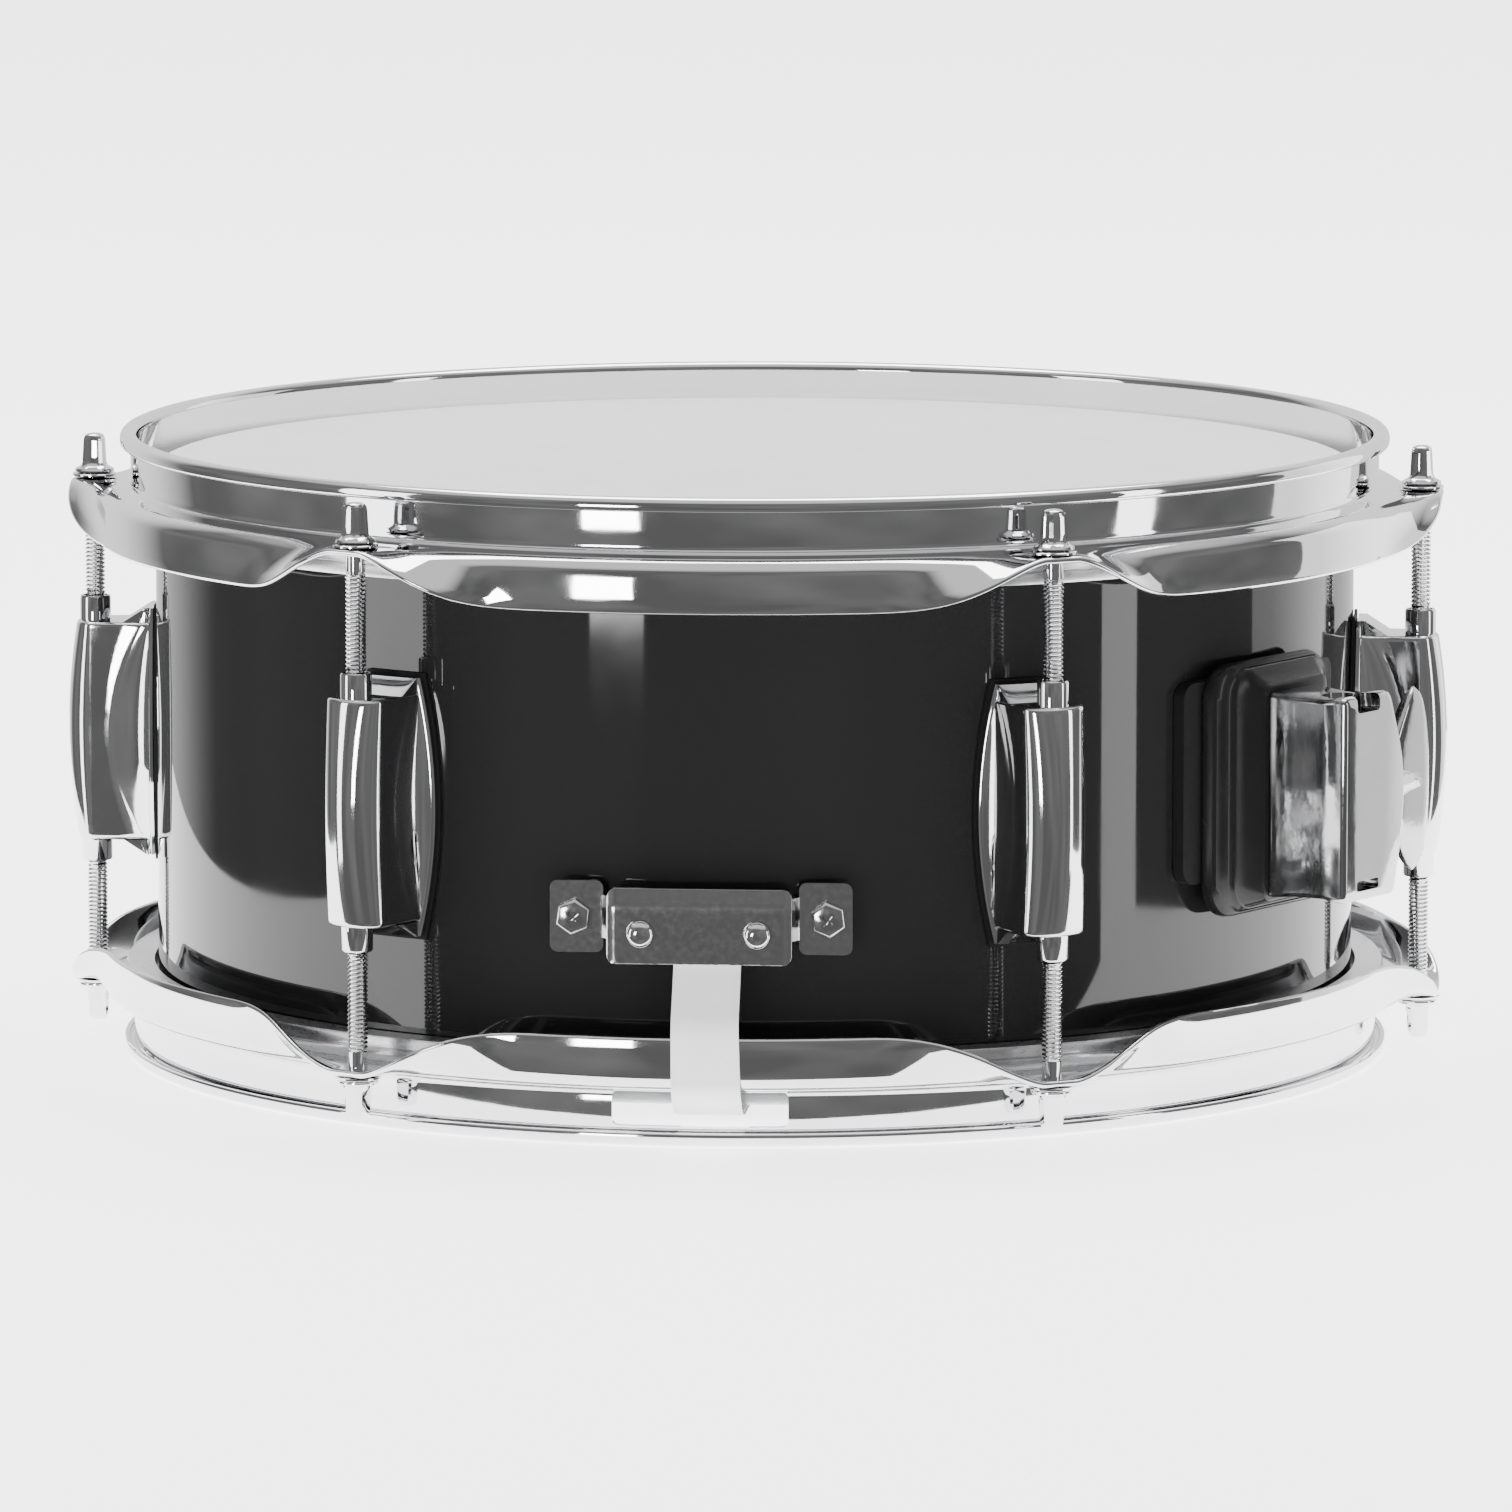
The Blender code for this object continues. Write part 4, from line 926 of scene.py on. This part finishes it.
def make_strainer():
    refine("strainer_gasket", "rubber", "drum", 0.2)
    refine("strainer_body", "cast", "drum", 1.2)
    refine("strainer_pin", "chrome", "drum", 0.3)
    refine("strainer_lever", "cast", "throw_lever", 1.1)
    refine("strainer_slide", "chrome", "throw_slide", 0.7)
    refine("strainer_clamp_plate", "nickel", "throw_slide", 0.4)
    place = turn_to(STRAINER_AZIMUTH) @ Matrix.Translation(front_point(0, 161 * MM, 22 * MM))
    loops = []
    outline = [(1.5, -9), (1.5, 0.3), (4.9, 0.3), (5.5, 0.9), (5.6, 1.4)]
    outline += [(5.6, 7.2), (5.3, 7.9), (4.4, 8.6), (0.2, 8.6)]
    for radius, height in outline:
        loop = circle(radius * MM, height * MM, 72)
        if 1.0 < height < 7.5:
            loop = [Vector((p.x * grip, p.y * grip, p.z)) for p, grip in zip(loop, [1.0, 0.955, 0.955] * 24)]
        loops.append(loop)
    knob = loft_mesh("knob", loops)
    show("strainer_knob_knurled", knob, "chrome", "tension_knob", ("strainer_knob",), place)
    drum_key = [(1.5, -5.2), (1.5, 0.0), (3.2, 0.0), (3.2, 1.2), (2.9, 1.9), (2.2, 2.4), (0.2, 2.4)]
    for number, side in ((1, -1), (2, 1)):
        spot = front_point(side * 13.5 * MM, 166.2 * MM, -37.5 * MM)
        place = turn_to(STRAINER_AZIMUTH) @ Matrix.Translation(spot) @ OUTWARD
        mesh = screw_head(f"strainer_screw_{number}", drum_key, 32, True)
        node = f"strainer_clamp_screw_{number}"
        show(f"strainer_clamp_dome_{number}", mesh, "chrome", "throw_slide", (node,), place)


def wrap_drop(across):
    """How far a round surface about the drum's axis falls away from its middle, at this place across."""
    radius = SHELL_RADIUS + 3.6 * MM
    return radius - math.sqrt(radius * radius - across * across)


BASE_LEFT = 28.3
BASE_RIGHT = 22.6


def base_mesh():
    """The bracket's moulded base: a wall with a bead round it, and a plinth that slopes in to the body."""
    loops = []
    levels = (
        (156.2, 28.2, -30.8, 31.8, 8.0, 1.0),
        (157.0, 28.3, -30.9, 31.9, 8.0, 1.0),
        (158.6, 27.9, -30.6, 31.5, 7.8, 0.9),
        (159.0, 27.2, -30.1, 31.0, 7.6, 0.8),
        (158.9, 25.4, -29.8, 30.8, 7.4, 0.6),
        (158.4, 23.2, -29.6, 30.6, 7.2, 0.3),
        (158.6, 22.0, -29.5, 30.6, 7.0, 0.1),
        (158.9, 21.6, -29.3, 30.4, 7.0, 0.0),
        (159.0, 21.0, -29.0, 30.0, 6.8, 0.0),
        (160.4, 18.4, -28.4, 28.6, 5.4, 0.0),
        (162.2, 15.0, -27.7, 26.9, 3.2, 0.0),
        (162.8, 14.3, -27.5, 26.5, 2.4, 0.0),
        (163.0, 13.6, -27.2, 26.0, 2.0, 0.0),
    )
    for reach, half, low, high, corner, wrap in levels:
        right = min(half, BASE_RIGHT - (BASE_LEFT - half) * 0.28)
        loop = rounded_loop((half + right) / 2 * MM, low * MM, high * MM, corner * MM, 8)
        loop = [(across - (half - right) / 2 * MM, rise) for across, rise in loop]
        spots = [front_point(across, reach * MM - wrap * wrap_drop(across), rise) for across, rise in loop]
        loops.append(spots)
    return loft_mesh("bracket_base", loops, corner=28)


def body_loop(inset):
    """The cast body's outline from the front, with soft corners and a bulge by the wing bolt."""
    spots = [(-12.5, -26.5), (10.8, -26.5), (13.4, -17.0), (15.0, -7.0), (15.5, 0.0)]
    spots += [(14.8, 7.0), (13.0, 13.5), (8.6, 24.5), (-12.5, 24.5)]
    cuts = (1.4, 2.5, 3.0, 3.0, 3.0, 2.5, 1.6)
    seam = Vector((-1.0, -26.5))
    closed = [seam, *[Vector(spot) for spot in spots[1:]], Vector(spots[0]), seam.copy()]
    soft = softened(closed, [*cuts, 1.4, 1.4], 4)[:-1]
    middle = Vector((0.0, -1.0))
    made = []
    for spot in soft:
        out = spot - middle
        scale = 1 - inset / max(abs(out.x), abs(out.y) * 0.55, 9.0)
        made.append((middle + out * scale) * MM)
    return made


def bracket_body_mesh():
    loops = []
    levels = [(163.3, 0.0), (164.0, 0.0), (170.0, 0.35), (178.0, 0.4)]
    levels += [(183.6, 0.0), (184.6, 0.15), (185.1, 0.5), (185.3, 1.1)]
    for reach, inset in levels:
        loops.append([front_point(spot.x, reach * MM, spot.y) for spot in body_loop(inset)])
    body = loft_mesh("bracket_body", loops)
    axis = front_point(ROD_HOLE_ACROSS, ROD_HOLE_REACH, 0)
    tools = [moved(turned_mesh("hole", [(5.4, -40), (5.4, 40)], 48), Matrix.Translation(axis))]
    notch = rounded_loop(5.2 * MM, 20.3 * MM, 30 * MM, 1.0 * MM, 3)
    slot = rounded_loop(5.0 * MM, -23.9 * MM, -21.4 * MM, 0.7 * MM, 3)
    for loop in (notch, slot):
        cut = [[front_point(a - 2.0 * MM, reach, rise) for a, rise in loop] for reach in (0.178, 0.19)]
        tools.append(loft_mesh("cut", cut))
    side_hole = turned_mesh("side_hole", [(3.3, 2), (3.3, 20)], 24)
    place = Matrix.Translation(front_point(0, ROD_HOLE_REACH, WING_BOLT_RISE)) @ SIDEWAYS
    tools.append(moved(side_hole, place))
    return boolean(body, tools)


def wing_bolt_mesh():
    hub = [(2.6, 4.3), (2.9, 5.1), (2.9, 15.8), (5.0, 15.8), (5.3, 16.2), (5.3, 16.9), (5.0, 17.6)]
    hub += [(4.3, 21.0), (3.5, 25.0), (2.6, 28.8), (1.6, 30.6), (0.3, 31.4)]
    wing = []
    for step in range(-14, 15):
        share = step / 14
        near = 18.6 + 10.3 * max(0.0, (abs(share) - 0.35) / 0.65) ** 1.15
        far = 35.6 - 3.6 * abs(share) ** 3.2
        tip = math.sqrt(max(0.02, 1 - max(0.0, (abs(share) - 0.86) / 0.14) ** 2))
        thick = (1.2 + 1.3 * (1 - share * share)) * tip
        middle = (near + far) / 2
        half = (far - near) / 2 * tip
        section = rounded_loop(1, -1, 1, 0.45, 4)
        wing.append([Vector((23.0 * share, thick * y, middle + half * z)) * MM for y, z in section])
    return boolean(turned_mesh("hub", hub, 40), [loft_mesh("wing", wing, corner=60)], "UNION", 40)


def make_bracket():
    turn = turn_to(BRACKET_AZIMUTH)
    rows = rounded_rows(-22 * MM, 28 * MM, 34 * MM, 4 * MM, middle=4)
    gasket = sheet_mesh("gasket", rows, shell_reach(GASKET_GAP), 2.98 * MM, 30)
    show("bracket_gasket_moulded", gasket, "rubber", "drum", ("bracket_gasket",), turn)
    show("bracket_base_moulded", base_mesh(), "plastic", "drum", ("bracket_base",), turn)
    show("bracket_body_cast", bracket_body_mesh(), "satin", "drum", ("bracket_body",), turn)
    place = turn @ Matrix.Translation(front_point(0, ROD_HOLE_REACH, WING_BOLT_RISE)) @ SIDEWAYS
    show("bracket_wing_bolt_cast", wing_bolt_mesh(), "satin", "rod_clamp", ("bracket_wing_bolt",), place)


def make_vent():
    section = [(3.2, 144.4), (4.9, 144.4), (4.9, 152.9), (7.9, 152.9)]
    section += [(7.7, 153.8), (6.6, 154.4), (4.4, 154.5), (3.2, 153.6)]
    loops = []
    for point in circle(1.0, 0, 48):
        loops.append([front_point(r * point.x * MM, reach * MM, r * point.y * MM) for r, reach in section])
    mesh = loft_mesh("vent", loops, closed=True)
    show("vent_grommet_turned", mesh, "chrome", "drum", ("vent_grommet",), turn_to(VENT_AZIMUTH))


make_camera()
make_lights()
make_floor()
make_shell()
make_heads()
make_hoops()
make_lugs()
make_rods()
make_butt()
make_strap("butt", 0, "drum", (158.45, BUTT_RISE + 3.5, BUTT_RISE - 9.8))
make_strap("strainer", STRAINER_AZIMUTH, "throw_slide", (164.2, -32.0, -45.0))
make_snares()
make_strainer()
make_bracket()
make_vent()
